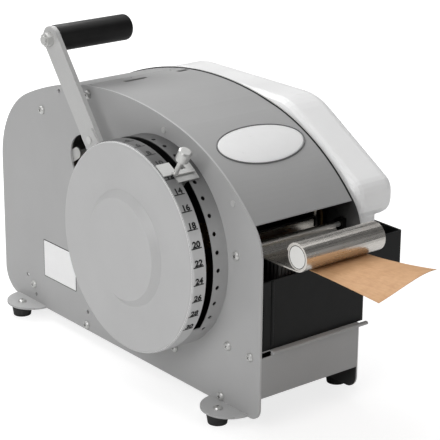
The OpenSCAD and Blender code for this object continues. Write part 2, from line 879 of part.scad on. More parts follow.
module pressure_roller() {
    color([0.2, 0.2, 0.2])
        union() {
            bar(mid_x - roller_half, 2 * roller_half, pressure_at, 2 * pressure_r);
            bar(mid_x - roller_half - 5, 2 * roller_half + 10, pressure_at, pressure_axle_d);
        }
}

// ---- Knife
bed_front = knife_y - 8.2;
bed_z = [1, 12];
blade_t = 1.2;
blade_top = tape_z - tape_t / 2 - 0.3;
post_y = knife_y + 4.6;
post_x = [mid_x - tape_w / 2 - 6, mid_x + tape_w / 2 + 6];
ear_t = 5;
module knife_bed() {
    color([0.62, 0.62, 0.6])
        difference() {
            union() {
                block([left_in, right_in], [bed_front, knife_y - blade_t], bed_z);
                for (x = post_x)
                    block([x - 4, x + 4], [knife_y - blade_t, post_y + 11], [bed_z[0], 8]);
                for (x = [left_in, right_in - ear_t])
                    across(x, ear_t)
                        polygon([[bed_front, bed_z[0]], [knife_y - 1.2, bed_z[0]], [knife_y - 1.2, 24],
                                 [weight_hinge[0] + 3, weight_hinge[1] + 6], [weight_hinge[0] - 5, weight_hinge[1] + 6],
                                 [weight_hinge[0] - 5, 14], [bed_front, 8]]);
            }
            bar(left_in - 1, plate_gap + 2, weight_hinge, 5);
            for (x = [left_in - 1, right_in - ear_t - 1])
                bar(x, ear_t + 2, screw_at[6], screw_d);
            for (x = post_x)
                translate([x, post_y, shaft_h + 2])
                    cylinder(h = 10, d = post_d);
        }
}
module knife_guide_posts() {
    color("silver")
        for (x = post_x)
            translate([x, post_y, shaft_h + 2])
                cylinder(h = 46, d = post_d);
}
module lower_blade() {
    color([0.8, 0.8, 0.78])
        difference() {
            block([mid_x - tape_w / 2 - 1.5, mid_x + tape_w / 2 + 1.5], [knife_y - blade_t, knife_y],
                  [bed_z[0] + 1, blade_top]);
            for (x = [mid_x - 24, mid_x + 24])
                translate([x, knife_y + 1, shaft_h + 7])
                    rotate([90, 0, 0])
                        cylinder(h = 4, d = 4);
        }
}
knife_rear = knife_y + gap;
knife_z = [22, 33];
module upper_knife() {
    color([0.66, 0.66, 0.64])
        difference() {
            union() {
                block([post_x[0] - 4.5, post_x[1] + 4.5], [knife_rear + blade_t, knife_rear + 7], knife_z);
                for (x = post_x)
                    translate([x, post_y, shaft_h + knife_z[0] - 6])
                        cylinder(h = knife_z[1] - knife_z[0] + 6, d = 9);
            }
            for (x = post_x)
                translate([x, post_y, shaft_h])
                    cylinder(h = 60, d = post_d + 2 * run);
        }
}
tooth_w = 3;
module upper_blade() {
    x0 = mid_x - tape_w / 2 - 1.5;
    x1 = mid_x + tape_w / 2 + 1.5;
    n = floor((x1 - x0) / tooth_w);
    w = (x1 - x0) / n;
    z_edge = tape_z - 1.6;
    color([0.82, 0.82, 0.8])
        translate([0, knife_rear + blade_t, shaft_h])
            rotate([90, 0, 0])
                linear_extrude(blade_t)
                    polygon(concat([[x1, knife_z[1] - 2], [x0, knife_z[1] - 2]],
                        [for (i = [0:n - 1], k = [0, 1]) [x0 + (i + k / 2) * w, z_edge + (k == 0 ? 1.4 : 0)]],
                        [[x1, z_edge + 1.4]]));
}
module knife_link() {
    x = post_x[1] + 4.5;
    color([0.62, 0.5, 0.28])
        difference() {
            across(x, 2.5)
                polygon([[knife_rear, 18], [knife_rear + 8, 18], [knife_rear + 8, 26], [knife_rear + 14, 34],
                         [knife_rear + 14, 42], [knife_rear + 4, 42], [knife_rear, 36]]);
            bar(x - 1, 5, [knife_rear + 9, 37], 4);
        }
}
module tape_guide() {
    x0 = mid_x - tape_w / 2 - 1.5;
    x1 = mid_x + tape_w / 2 + 1.5;
    z = blade_top - 0.2;
    front = knife_rear + blade_t + gap;
    rear = feed_at[0] - 12;
    color([0.7, 0.7, 0.68])
        union() {
            block([x0, x1], [front, rear], [z - 1, z]);
            for (x = [x0, x1 - 1]) {
                block([x, x + 1], [post_y + 6, rear], [z - 1, z + 4]);
                block([x, x + 1], [post_y + 6, post_y + 11], [8, z]);
            }
            block([post_x[0] - 3, x0 + 1], [post_y + 6, post_y + 11], [8, 9]);
            block([x1 - 1, post_x[1] + 3], [post_y + 6, post_y + 11], [8, 9]);
        }
}

// ---- Top weight
weight_x = mid_x - weight_len / 2;
hinge_pin_d = 5;
wrap_t = sheet_t;
wrap_turn = 345;
wrap_in = weight_r + 0.05;
wrap_z = weight_at[1] - wrap_in - wrap_t;
// The three rods that cross between the plates: for the cover, the weight and the pressure arm
module hinge_rods() {
    color("silver") {
        bar(left_in, plate_gap, cover_hinge, hinge_rod_d);
        bar(left_in, plate_gap, weight_hinge, hinge_pin_d);
        bar(left_in, plate_gap, pressure_pivot, pivot_rod_d);
    }
}
module weight_sheet() {
    k = hinge_pin_d / 2 + run + wrap_t;
    rest_z = tape_z + 2.2;
    color([0.7, 0.71, 0.69])
        across(weight_x, weight_len)
            difference() {
                polygon(concat(
                    arc(weight_hinge, k, -60, 200, 20),
                    [[weight_hinge[0] - 8.6, rest_z + wrap_t], [weight_hinge[0] - 14, rest_z - 0.6 + wrap_t]],
                    arc(weight_at, wrap_in, -90, -wrap_turn, 28),
                    arc(weight_at, wrap_in + wrap_t, -wrap_turn, -90, 28),
                    [[weight_hinge[0] - 14, rest_z - 0.6], [weight_hinge[0] - 8, rest_z]]));
                translate(weight_hinge)
                    circle(hinge_pin_d / 2 + run);
            }
}
module weight_bar() {
    color([0.86, 0.86, 0.85])
        bar(weight_x + 0.5, weight_len - 1, weight_at, 2 * weight_r);
}

// ---- Water tank, brush and bottle
tank_x = left_in + 2;
well_x = right_x + tank_step;
tank_corner = 3;
module tank_box(xs, ys, zs, r) {
    translate([0, 0, shaft_h + zs[0]])
        linear_extrude(zs[1] - zs[0])
            rounded_rect([xs[0], ys[0]], [xs[1], ys[1]], r);
}
module water_tank() {
    w = tank_wall;
    x1 = well_x + well_w;
    color([0.13, 0.13, 0.14])
        for (x = [neck_x - 12, neck_x + 9])
            block([x, x + 3], [neck_y - 12, neck_y + 12], [well_z[0] + 1, neck_tip - gap]);
    color([0.13, 0.13, 0.14])
        difference() {
            union() {
                tank_box([tank_x, well_x], [tank_front, tank_rear], [shelf_z, tank_top], tank_corner);
                tank_box([well_x - 12, x1], [tank_front, tank_rear], well_z, tank_corner);
                tank_box([tank_x - 1, tank_x + 9], [tank_front - 1.2, tank_front + 2], [-16, tank_top], 1);
                tank_box([tank_x + 11, tank_x + 14], [tank_front - 1, tank_front + 2], [shelf_z + 4, tank_top - 1], 1);
            }
            tank_box([tank_x + w, well_x - w], [tank_front + w, tank_rear - w], [shelf_z + w, far], 2);
            tank_box([well_x - 11, x1 - w], [tank_front + w, tank_rear - w], [well_z[0] + w, far], 2);
            tank_box([well_x - 24, well_x - 2], [tank_front - 9, tank_rear + 9], [tank_top, far], 1);
        }
}
brush_y = [-147, -125];
brush_base = [-30, -12];
tuft_d = 3.4;
tuft_rows = 4;
tuft_cols = 17;
bristle_top = tape_z - tape_t / 2 - 0.4;
module brush_holder() {
    x0 = mid_x - tape_w / 2 - 3;
    x1 = mid_x + tape_w / 2 + 3;
    color([0.25, 0.25, 0.26])
        union() {
            block([x0, x1], brush_y, brush_base);
            for (x = [x0, x1 - 4])
                block([x, x + 4], brush_y, [shelf_z + tank_wall, brush_base[1]]);
        }
}
module brush_bristles() {
    color([0.9, 0.85, 0.7]) {
        block([mid_x - tape_w / 2, mid_x + tape_w / 2], [brush_y[0] + 1, brush_y[1] - 1],
              [brush_base[1], brush_base[1] + 2]);
        for (i = [0:tuft_cols - 1], j = [0:tuft_rows - 1])
            translate([mid_x - tape_w / 2 + 2 + i * (tape_w - 4) / (tuft_cols - 1),
                       brush_y[0] + 3.2 + j * (brush_y[1] - brush_y[0] - 6.4) / (tuft_rows - 1),
                       shaft_h + brush_base[1]])
                cylinder(h = bristle_top - brush_base[1], d = tuft_d, $fn = 24);
    }
}
bottle_x = well_x + well_w - 3 - bottle_t;
bottle_wall = 1.6;
bottle_bottom = 27;
neck_tip = -14;
neck_x = bottle_x + bottle_t / 2;
// Rounded corners of the bottle's side view, anticlockwise, as [y, z, radius]
bottle_corners = [[bottle_ends[0] + 15, bottle_bottom + 15, 15], [neck_y + 60, bottle_bottom + 15, 15],
                  [bottle_ends[1] - 15, bottle_bottom + 38, 15], [bottle_ends[1] - 18, 78, 18],
                  [137, 65, 60], [-15, 66, 60], [bottle_ends[0] + 18, 51, 18]];
corner_steps = 4;
edge_steps = 4;
function corner_yz(i) = let (c = bottle_corners[(i + 7) % 7]) [c[0], c[1]];
// Direction of the straight side from corner i to the next, square to it: tangent to both circles
function side_dir(i) = let (a = bottle_corners[(i + 7) % 7], b = bottle_corners[(i + 8) % 7],
    d = [b[0] - a[0], b[1] - a[1]]) dir_of([d[1], -d[0]]) - asin((b[2] - a[2]) / norm(d));
function bottle_ring(x, inset) = [for (i = [0:6], k = [0:corner_steps])
    let (from = side_dir(i - 1), turn = (side_dir(i) - from + 720) % 360,
         q = corner_yz(i) + polar(bottle_corners[i][2] - inset, from + turn * k / corner_steps))
    [x, q[0], shaft_h + q[1]]];
module bottle_shape(wall) {
    r = bottle_edge_r - wall;
    stations = concat(
        [for (k = [0:edge_steps]) let (a = 90 * k / edge_steps) [-bottle_t / 2 + wall + r - r * cos(a), r - r * sin(a)]],
        [for (k = [edge_steps:-1:0]) let (a = 90 * k / edge_steps) [bottle_t / 2 - wall - r + r * cos(a), r - r * sin(a)]]);
    rings = [for (s = stations) bottle_ring(neck_x + s[0], wall + s[1])];
    n = len(rings[0]);
    m = len(rings);
    polyhedron(
        points = [for (ring = rings, q = ring) q],
        faces = concat(
            [for (j = [0:m - 2], i = [0:n - 1], h = [0, 1])
                let (a = j * n + i, b = j * n + (i + 1) % n) h == 0 ? [a, a + n, b] : [b, a + n, b + n]],
            [for (i = [1:n - 2]) [0, i, i + 1]],
            [for (i = [1:n - 2]) [(m - 1) * n, (m - 1) * n + i + 1, (m - 1) * n + i]]));
}
function bottle_under(y) = let (slope = 23 / (bottle_ends[1] - 15 - neck_y - 60)) bottle_bottom + slope * (y - neck_y - 60);
module water_bottle() {
    color([0.88, 0.89, 0.9])
        difference() {
            union() {
                bottle_shape(0);
                translate([neck_x, neck_y, shaft_h + neck_tip + 6])
                    cylinder(h = bottle_bottom - neck_tip - 2, r = neck_r);
            }
            bottle_shape(bottle_wall);
            translate([neck_x, neck_y, shaft_h + neck_tip])
                cylinder(h = bottle_bottom - neck_tip + 6, r = neck_r - 2);
        }
}
module bottle_cap() {
    color([0.2, 0.2, 0.22])
        translate([neck_x, neck_y, shaft_h + neck_tip])
            difference() {
                union() {
                    cylinder(h = 20, r = neck_r + 2.5);
                    translate([0, 0, -8])
                        cylinder(h = 9, r = 6);
                }
                translate([0, 0, 5])
                    cylinder(h = 30, r = neck_r + 0.05);
                translate([0, 0, -9])
                    cylinder(h = 30, r = 3);
            }
}
ledge_at = [[60, 20], [180, 20]];
module bottle_ledge() {
    color([0.5, 0.5, 0.5])
        difference() {
            union() {
                across(right_x, sheet_t)
                    polygon([[40, 10], [200, 10], [200, bottle_under(200) - 1], [40, bottle_under(40) - 1]]);
                across(right_x, 40)
                    polygon([[40, bottle_under(40) - 0.4 - sheet_t], [200, bottle_under(200) - 0.4 - sheet_t],
                             [200, bottle_under(200) - 0.4], [40, bottle_under(40) - 0.4]]);
            }
            for (p = ledge_at)
                bar(right_x - 1, 4, p, screw_d);
        }
}

// ---- Tape roll on its cradle
support_at = [[roll_y - support_half, support_z], [roll_y + support_half, support_z]];
roll_at = [roll_y, support_z + sqrt(pow(roll_r + support_r + gap, 2) - pow(support_half, 2))];
spindle_d = 6;
cradle_t = 2.5;
cradle_x = [left_in + 12, right_in - 12 - cradle_t];
floor_top = plate_bottom + 2 + sheet_t;
module cradle_brackets() {
    color([0.5, 0.5, 0.5])
        for (i = [0, 1])
            difference() {
                union() {
                    across(cradle_x[i], cradle_t)
                        polygon([[roll_y - support_half - 14, floor_top], [roll_y + support_half + 14, floor_top],
                                 [roll_y + support_half + 9, support_z + 9], [roll_y + support_half - 9, support_z + 9],
                                 [roll_y + 14, support_z - 6], [roll_y - 14, support_z - 6],
                                 [roll_y - support_half + 9, support_z + 9],
                                 [roll_y - support_half - 9, support_z + 9]]);
                    block(i == 0 ? [cradle_x[0] - 10, cradle_x[0] + 1] : [cradle_x[1], cradle_x[1] + 12],
                          [roll_y - support_half - 14, roll_y + support_half + 14],
                          [floor_top, floor_top + cradle_t]);
                }
                for (p = support_at)
                    bar(cradle_x[i] - 1, cradle_t + 2, p, spindle_d);
            }
}
module roller_spindles() {
    color("silver")
        for (p = support_at)
            bar(cradle_x[0] - 2, cradle_x[1] + cradle_t + 2 - cradle_x[0] + 2, p, spindle_d);
}
module support_roller(at) {
    x0 = cradle_x[0] + cradle_t + 0.5;
    color([0.82, 0.82, 0.8])
        difference() {
            bar(x0, cradle_x[1] - 0.5 - x0, at, 2 * support_r);
            bar(x0 - 1, plate_gap, at, spindle_d + 2 * run);
        }
}
module support_roller_front() {
    support_roller(support_at[0]);
}
module support_roller_rear() {
    support_roller(support_at[1]);
}
core_t = 3;
module tape_roll() {
    color([0.8, 0.66, 0.48])
        difference() {
            bar(mid_x - tape_w / 2, tape_w, roll_at, 2 * roll_r);
            bar(mid_x - tape_w / 2 - 1, tape_w + 2, roll_at, 2 * (core_r + core_t));
        }
}
module tape_core() {
    color([0.62, 0.54, 0.42])
        difference() {
            bar(mid_x - tape_w / 2, tape_w, roll_at, 2 * (core_r + core_t));
            bar(mid_x - tape_w / 2 - 1, tape_w + 2, roll_at, 2 * core_r);
        }
}
// The web runs from the top of the roll, just clear of it, straight to the nip and on to the knife
web_r = roll_r + tape_clear;
web_nip = [pressure_at[0], tape_z];
web_far = norm(roll_at - web_nip);
web_end = knife_rear + blade_t + gap;
web_touch = roll_at + polar(web_r + tape_t / 2, dir_of(web_nip - roll_at) - acos((web_r + tape_t / 2) / web_far));
module tape_web() {
    up = tape_t / 2;
    n = unit([-(web_touch - web_nip)[1], (web_touch - web_nip)[0]]);
    color([0.8, 0.66, 0.48])
        across(mid_x - tape_w / 2, tape_w)
            polygon([[web_end, tape_z - up], web_nip + [0, -up], web_touch - up * n, web_touch + up * n,
                     web_nip + [0, up], [web_end, tape_z + up]]);
}
// The fed end of the tape: flat under the weight, then drooping on the left and curling up across its width
strip_start = knife_y - gap;
strip_end = -287;
strip_free = weight_at[0];
strip_z0 = tape_z + 0.1;
strip_z1 = wrap_z - 0.5;
strip_rows = 16;
strip_cols = 14;
strip_solid_t = 0.5;
function strip_y(u, v) = strip_start + (strip_end - strip_start) * v + 9 * pow(v, 3) * pow(u, 2);
function strip_lift(u, v) = let (y = strip_y(u, v), s = min(1, (strip_start - y) / (strip_start - strip_free)),
    f = max(0, (strip_free - y) / (strip_free - strip_end)))
    strip_z0 + (strip_z1 - strip_z0) * s + pow(f, 1.5) * (4.7 + 8.5 * u) + pow(f, 1.3) * 9 * (1 - u * u);
function strip_point(i, j, side) = let (u = 2 * i / strip_cols - 1, v = j / strip_rows)
    [mid_x + u * tape_w / 2, strip_y(u, v), shaft_h + strip_lift(u, v) + side * strip_solid_t / 2];
module tape_strip() {
    c = strip_cols + 1;
    top = [for (j = [0:strip_rows], i = [0:strip_cols]) strip_point(i, j, 1)];
    low = [for (j = [0:strip_rows], i = [0:strip_cols]) strip_point(i, j, -1)];
    m = len(top);
    rim = concat([for (i = [0:strip_cols]) i], [for (j = [1:strip_rows]) j * c + strip_cols],
                 [for (i = [strip_cols - 1:-1:0]) strip_rows * c + i], [for (j = [strip_rows - 1:-1:1]) j * c]);
    faces = concat(
        [for (j = [0:strip_rows - 1], i = [0:strip_cols - 1], k = [0, 1])
            let (a = j * c + i) k == 0 ? [a, a + 1, a + c] : [a + 1, a + c + 1, a + c]],
        [for (j = [0:strip_rows - 1], i = [0:strip_cols - 1], k = [0, 1])
            let (a = m + j * c + i) k == 0 ? [a, a + c, a + 1] : [a + 1, a + c, a + c + 1]],
        [for (i = [0:len(rim) - 1], k = [0, 1])
            let (a = rim[i], b = rim[(i + 1) % len(rim)]) k == 0 ? [a, a + m, b] : [b, a + m, b + m]]);
    color([0.86, 0.72, 0.54])
        polyhedron(points = concat(top, low), faces = faces);
}

// ---- Return spring: an extension spring from the crank to its anchor
spring_x = stage2_x + crank_t + 3;
spring_from = polar(crank_r, crank_dir);
spring_to = [146, 52];
spring_r = 4.2;
wire_r = 0.65;
spring_turns = 22;
hook_len = 14;
rings_per_turn = 8;
wire_sides = 6;
spring_len = norm(spring_to - spring_from);
spring_u = unit(spring_to - spring_from);
coil_len = spring_len - 2 * hook_len;
pin_gap = crank_pin_d / 2 + 0.3 + wire_r;
function spring_centre(t) =
    t < 0 ? [pin_gap + (hook_len - pin_gap) * (1 + t), 0, 0]
    : t > 1 ? [hook_len + coil_len + (hook_len - pin_gap) * (t - 1), 0, 0]
    : [hook_len + coil_len * t, spring_r * sin(360 * spring_turns * t), -spring_r * cos(360 * spring_turns * t) + spring_r];
spring_steps = [for (i = [0:2]) -1 + i / 2.5, for (i = [0:spring_turns * rings_per_turn]) i / (spring_turns * rings_per_turn),
                for (i = [0:2]) 1.2 + i * 0.4];
spring_path = [for (t = spring_steps) spring_centre(t)];
module return_spring() {
    pts = spring_path;
    n = len(pts);
    tangents = [for (i = [0:n - 1]) unit(pts[min(i + 1, n - 1)] - pts[max(i - 1, 0)])];
    ring_points = [for (i = [0:n - 1], k = [0:wire_sides - 1])
        let (t = tangents[i], a = unit(cross(t, [0, 1, 0.001])), b = cross(t, a))
        pts[i] + wire_r * (cos(360 * k / wire_sides) * a + sin(360 * k / wire_sides) * b)];
    faces = concat(
        [for (i = [0:n - 2], k = [0:wire_sides - 1], h = [0, 1])
            let (a = i * wire_sides + k, b = i * wire_sides + (k + 1) % wire_sides)
            h == 0 ? [a, a + wire_sides, b] : [b, a + wire_sides, b + wire_sides]],
        [for (k = [1:wire_sides - 2]) [0, k, k + 1]],
        [for (k = [1:wire_sides - 2]) [(n - 1) * wire_sides, (n - 1) * wire_sides + k + 1, (n - 1) * wire_sides + k]]);
    color("silver")
        translate([spring_x, spring_from[0], shaft_h + spring_from[1]])
            rotate([dir_of(spring_u), 0, 0])
                multmatrix([[0, 0, 1, 0], [1, 0, 0, 0], [0, 1, 0, 0], [0, 0, 0, 1]])
                    polyhedron(points = ring_points, faces = faces);
}
echo(spring_coil_gap = coil_len / spring_turns - 2 * wire_r);
module spring_anchor() {
    color([0.85, 0.85, 0.83])
        union() {
            bar(left_in, spring_x + 4 - left_in, spring_to, crank_pin_d);
            bar(spring_x + 4, 1, spring_to, crank_pin_d + 3);
            across(left_in, 1.5)
                link_2d(spring_to, spring_to + [16, -10], 12);
        }
}

// ---- Feet and fasteners
foot_places = [for (y = ear_y) [left_x - ear_r / 2, y], for (y = ear_y) [right_x + ear_r / 2, y]];
ear_low = shaft_h + plate_bottom;
module rubber_feet() {
    color([0.1, 0.1, 0.1])
        for (p = foot_places)
            translate([p[0], p[1], 0])
                difference() {
                    cylinder(h = ear_low, d1 = 19, d2 = 23);
                    translate([0, 0, 3])
                        cylinder(h = ear_low, d = screw_d);
                }
}
module foot_screws() {
    color("silver")
        for (p = foot_places)
            translate([p[0], p[1], 0])
                union() {
                    translate([0, 0, 4])
                        cylinder(h = ear_low + plate_t - 4, d = screw_d);
                    translate([0, 0, ear_low + plate_t])
                        rotate_extrude()
                            polygon([[0, 0], [4.5, 0], [4.5, 1], [3.6, 2.4], [1.8, 3], [0, 3]]);
                }
}
head_d = 9;
low_head = 1.6;
module pan_screw(p, x, side, depth, h = 3) {
    // shank through the plate, dome head outside it
    translate([x, p[0], shaft_h + p[1]])
        rotate([0, side * 90, 0])
            union() {
                translate([0, 0, -depth])
                    cylinder(h = depth, d = screw_d);
                rotate_extrude()
                    polygon([[0, 0], [head_d / 2, 0], [head_d / 2, h * 0.35], [head_d / 2 - 1, h * 0.8], [head_d / 4, h],
                             [0, h]]);
            }
}
module plate_screws() {
    color([0.85, 0.85, 0.82]) {
        for (i = [0, 1, 2, 3, 4, 5])
            pan_screw(screw_at[i], left_x, -1, plate_t + sheet_t);
        for (i = [0, 1, 2, 3, 4, 5])
            pan_screw(screw_at[i], right_x, 1, plate_t + sheet_t, low_head);
        pan_screw(screw_at[6], left_x, -1, plate_t + ear_t);
        for (p = ledge_at)
            pan_screw(p, right_x + sheet_t, 1, plate_t + sheet_t);
    }
}
module cross_screws() {
    color([0.85, 0.85, 0.82]) {
        pan_screw(cross_at[0], left_x, -1, plate_t);
        pan_screw(cross_at[0], right_x, 1, plate_t, low_head);
        pan_screw(cross_at[1], left_x, -1, plate_t + sheet_t);
        pan_screw(cross_at[1], right_x, 1, plate_t + sheet_t, low_head);
    }
}
module plate_rivets() {
    color([0.66, 0.67, 0.67])
        for (p = rivet_at) {
            bar(left_x - 1, plate_t + sheet_t + 2, p, rivet_d);
            bar(left_x - 1, 1, p, 6);
            bar(right_in - sheet_t - 1, plate_t + sheet_t + 1.8, p, rivet_d);
            bar(right_x, 0.8, p, 6);
        }
}
module shelf_nuts() {
    color("silver")
        for (i = [1, 3, 4, 5])
            for (x = [left_in + (i < 4 ? 0 : sheet_t), right_in - (i < 4 ? 0 : sheet_t) - 4])
                translate([x, screw_at[i][0], shaft_h + screw_at[i][1]])
                    rotate([0, 90, 0])
                        difference() {
                            cylinder(h = 4, d = 9, $fn = 6);
                            translate([0, 0, -1])
                                cylinder(h = 6, d = 5);
                        }
}

left_side_plate();
right_side_plate();
tank_shelf();
floor_pan();
rear_cover();
cover_rest_strips();
top_cover();
dial_cap();
index_ring();
bearing_bushes();
main_shaft();
lever_hub_plate();
lever_arm();
lever_rivets();
grip_bolt();
lever_grip();
stop_carriage();
stop_plunger();
drive_sector();
spring_crank();
idler_shaft();
idler_pinion();
idler_gear();
feed_pinion();
feed_shaft();
feed_roller();
pressure_arm();
pressure_roller();
tape_guide();
knife_bed();
knife_guide_posts();
lower_blade();
upper_knife();
upper_blade();
knife_link();
hinge_rods();
weight_sheet();
weight_bar();
water_tank();
brush_holder();
brush_bristles();
water_bottle();
bottle_cap();
bottle_ledge();
cradle_brackets();
roller_spindles();
support_roller_front();
support_roller_rear();
tape_roll();
tape_core();
tape_web();
tape_strip();
return_spring();
spring_anchor();
rubber_feet();
foot_screws();
plate_screws();
cross_screws();
plate_rivets();
shelf_nuts();
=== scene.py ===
import bpy
import bmesh
import math
import numpy as np
from mathutils import Matrix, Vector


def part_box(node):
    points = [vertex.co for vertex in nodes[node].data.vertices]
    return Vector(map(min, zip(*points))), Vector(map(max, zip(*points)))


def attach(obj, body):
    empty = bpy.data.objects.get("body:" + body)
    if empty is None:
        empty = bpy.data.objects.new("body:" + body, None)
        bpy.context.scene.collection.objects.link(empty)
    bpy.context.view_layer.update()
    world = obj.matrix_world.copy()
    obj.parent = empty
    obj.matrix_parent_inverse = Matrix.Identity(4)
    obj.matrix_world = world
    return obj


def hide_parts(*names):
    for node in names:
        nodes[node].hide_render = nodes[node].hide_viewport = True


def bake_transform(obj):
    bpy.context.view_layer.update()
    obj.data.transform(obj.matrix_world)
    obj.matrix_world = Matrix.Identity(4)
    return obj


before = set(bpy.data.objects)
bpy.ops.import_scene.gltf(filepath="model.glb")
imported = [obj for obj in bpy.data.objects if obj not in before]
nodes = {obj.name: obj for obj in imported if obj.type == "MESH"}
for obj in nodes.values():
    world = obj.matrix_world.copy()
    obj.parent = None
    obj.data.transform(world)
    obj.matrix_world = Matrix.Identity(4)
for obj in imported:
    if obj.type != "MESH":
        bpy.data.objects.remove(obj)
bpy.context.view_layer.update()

# Places from the part's frame, in metres: the lever shaft's height, the dial's face across the
# machine and its radius, and the left plate's outer face
shaftHeight = 0.152
dialX = -0.1095
dialRadius = 0.105
leftPlateX = dialX + 0.043


# Camera
def makeCamera():
    data = bpy.data.cameras.new("camera")
    cam = bpy.data.objects.new("camera", data)
    bpy.context.scene.collection.objects.link(cam)
    right = (0.77984923, -0.6259235, 0.00741252)
    up = (0.20143218, 0.26214459, 0.94377184)
    back = (-0.59267213, -0.73450662, 0.33051439)
    eye = (dialX - 8.67388749 * dialRadius, -12.13416171 * dialRadius,
           shaftHeight + 5.49630061 * dialRadius)
    rows = [[right[i], up[i], back[i], eye[i]] for i in range(3)] + [[0, 0, 0, 1]]
    cam.matrix_world = Matrix(rows)
    data.sensor_width = 36
    data.lens = data.sensor_width * 1730 / 440
    data.clip_end = 50
    bpy.context.scene.camera = cam


makeCamera()
print("camera")


# Material tools
def srgb(*v):
    out = []
    for c in v:
        c = c / 255
        out.append(c / 12.92 if c <= 0.04045 else ((c + 0.055) / 1.055) ** 2.4)
    return tuple(out) + (1.0,)


# A node material with a Principled shader, and short ways to add nodes to it.
class Shade:
    def __init__(self, name):
        self.mat = bpy.data.materials.new(name)
        self.mat.use_nodes = True
        self.tree = self.mat.node_tree
        self.bsdf = next(n for n in self.tree.nodes if n.type == "BSDF_PRINCIPLED")
        self.coords = self.node("ShaderNodeTexCoord").outputs["Object"]

    def node(self, kind, **settings):
        n = self.tree.nodes.new(kind)
        for key, value in settings.items():
            setattr(n, key, value)
        return n

    def link(self, a, b):
        self.tree.links.new(a, b)

    def mapped(self, scale=(1, 1, 1), turn=(0, 0, 0)):
        m = self.node("ShaderNodeMapping")
        m.inputs["Scale"].default_value = scale
        m.inputs["Rotation"].default_value = turn
        self.link(self.coords, m.inputs["Vector"])
        return m.outputs["Vector"]

    def noise(self, scale, detail=3.0, rough=0.5, vector=None):
        n = self.node("ShaderNodeTexNoise")
        n.inputs["Scale"].default_value = scale
        n.inputs["Detail"].default_value = detail
        n.inputs["Roughness"].default_value = rough
        self.link(vector or self.coords, n.inputs["Vector"])
        return n.outputs["Fac"]

    def ramp(self, fac, stops):
        n = self.node("ShaderNodeValToRGB")
        r = n.color_ramp
        while len(r.elements) < len(stops):
            r.elements.new(0.5)
        for e, (at, color) in zip(r.elements, stops):
            e.position = at
            e.color = color
        self.link(fac, n.inputs["Fac"])
        return n.outputs["Color"]

    def spread(self, fac, low, high):
        n = self.node("ShaderNodeMapRange")
        n.inputs["To Min"].default_value = low
        n.inputs["To Max"].default_value = high
        self.link(fac, n.inputs["Value"])
        return n.outputs["Result"]

    def math(self, op, a, b):
        n = self.node("ShaderNodeMath", operation=op)
        for i, v in enumerate((a, b)):
            if isinstance(v, (int, float)):
                n.inputs[i].default_value = v
            else:
                self.link(v, n.inputs[i])
        return n.outputs[0]

    def bump(self, height, distance, strength=1.0, after=None):
        n = self.node("ShaderNodeBump")
        n.inputs["Distance"].default_value = distance
        n.inputs["Strength"].default_value = strength
        self.link(height, n.inputs["Height"])
        if after is not None:
            self.link(after, n.inputs["Normal"])
        return n.outputs["Normal"]

    def set(self, **values):
        for key, value in values.items():
            socket = self.bsdf.inputs[key.replace("_", " ")]
            if isinstance(value, (int, float, tuple)):
                socket.default_value = value
            else:
                self.link(value, socket)
        return self


def tone(color, k):
    return tuple(c * k for c in color[:3]) + (1.0,)


# Sprayed and baked enamel: a fine orange peel, and slow drifts of tone and gloss.
def enamel(name, color, rough=0.42, grain=0.00005):
    s = Shade(name)
    peel = s.noise(700, 2, 0.45)
    drift = s.noise(14, 4, 0.6)
    speck = s.noise(2600, 1, 0.5)
    mixed = s.math("ADD", s.math("MULTIPLY", drift, 0.7), s.math("MULTIPLY", speck, 0.3))
    s.set(Base_Color=s.ramp(mixed, [(0.3, tone(color, 0.955)), (0.7, tone(color, 1.035))]),
          Roughness=s.spread(drift, rough - 0.05, rough + 0.07),
          Normal=s.bump(peel, grain, 0.7))
    return s


# Across coordinate, and distance from an axis that runs across the machine.
def axisDistance(s, y=0.0, z=shaftHeight):
    sep = s.node("ShaderNodeSeparateXYZ")
    s.link(s.coords, sep.inputs[0])
    dy = s.math("SUBTRACT", sep.outputs[1], y)
    dz = s.math("SUBTRACT", sep.outputs[2], z)
    squares = s.math("ADD", s.math("MULTIPLY", dy, dy), s.math("MULTIPLY", dz, dz))
    return sep.outputs[0], s.math("SQRT", squares, 0)


# Lays another tone over the base colour where the mask is one.
def tinted(s, mask, color, share=1.0):
    under = s.bsdf.inputs["Base Color"].links[0].from_socket
    mix = s.node("ShaderNodeMix", data_type="RGBA")
    s.link(s.math("MULTIPLY", mask, share), mix.inputs[0])
    s.link(under, mix.inputs[6])
    mix.inputs[7].default_value = color
    return s.set(Base_Color=mix.outputs[2])


# One on faces that look across neither way: the cut edges of a sheet side.
def edgeMask(s):
    geo = s.node("ShaderNodeNewGeometry")
    sep = s.node("ShaderNodeSeparateXYZ")
    s.link(geo.outputs["True Normal"], sep.inputs[0])
    return s.math("LESS_THAN", s.math("ABSOLUTE", sep.outputs[0], 0), 0.5)


# Worked metal: fine lines along one direction, and a little smudging.
def metal(name, color, rough=0.3, brush=(1, 1, 1), scratch=0.00002, metallic=1.0):
    s = Shade(name)
    lines = s.noise(900, 2, 0.6, s.mapped(brush))
    smudge = s.noise(40, 3, 0.6)
    both = s.math("ADD", s.math("MULTIPLY", lines, 0.6), s.math("MULTIPLY", smudge, 0.4))
    s.set(Base_Color=s.ramp(both, [(0.3, tone(color, 0.9)), (0.7, color)]), Metallic=metallic,
          Roughness=s.spread(both, rough - 0.08, rough + 0.12),
          Normal=s.bump(lines, scratch, 0.6))
    return s


def dress(name, shade):
    obj = nodes[name]
    if not obj.data.materials:
        obj.data.materials.append(shade.mat)
    for one in obj.material_slots:
        one.material = shade.mat


plateGrey = srgb(178, 178, 178)
paintedInsideShade = srgb(16, 16, 16)


def sidePlate(name):
    s = enamel(name, plateGrey)
    # painted highlight: the cut edges are lighter, as edges that catch the light
    tinted(s, edgeMask(s), srgb(206, 206, 206), 0.7)
    return s
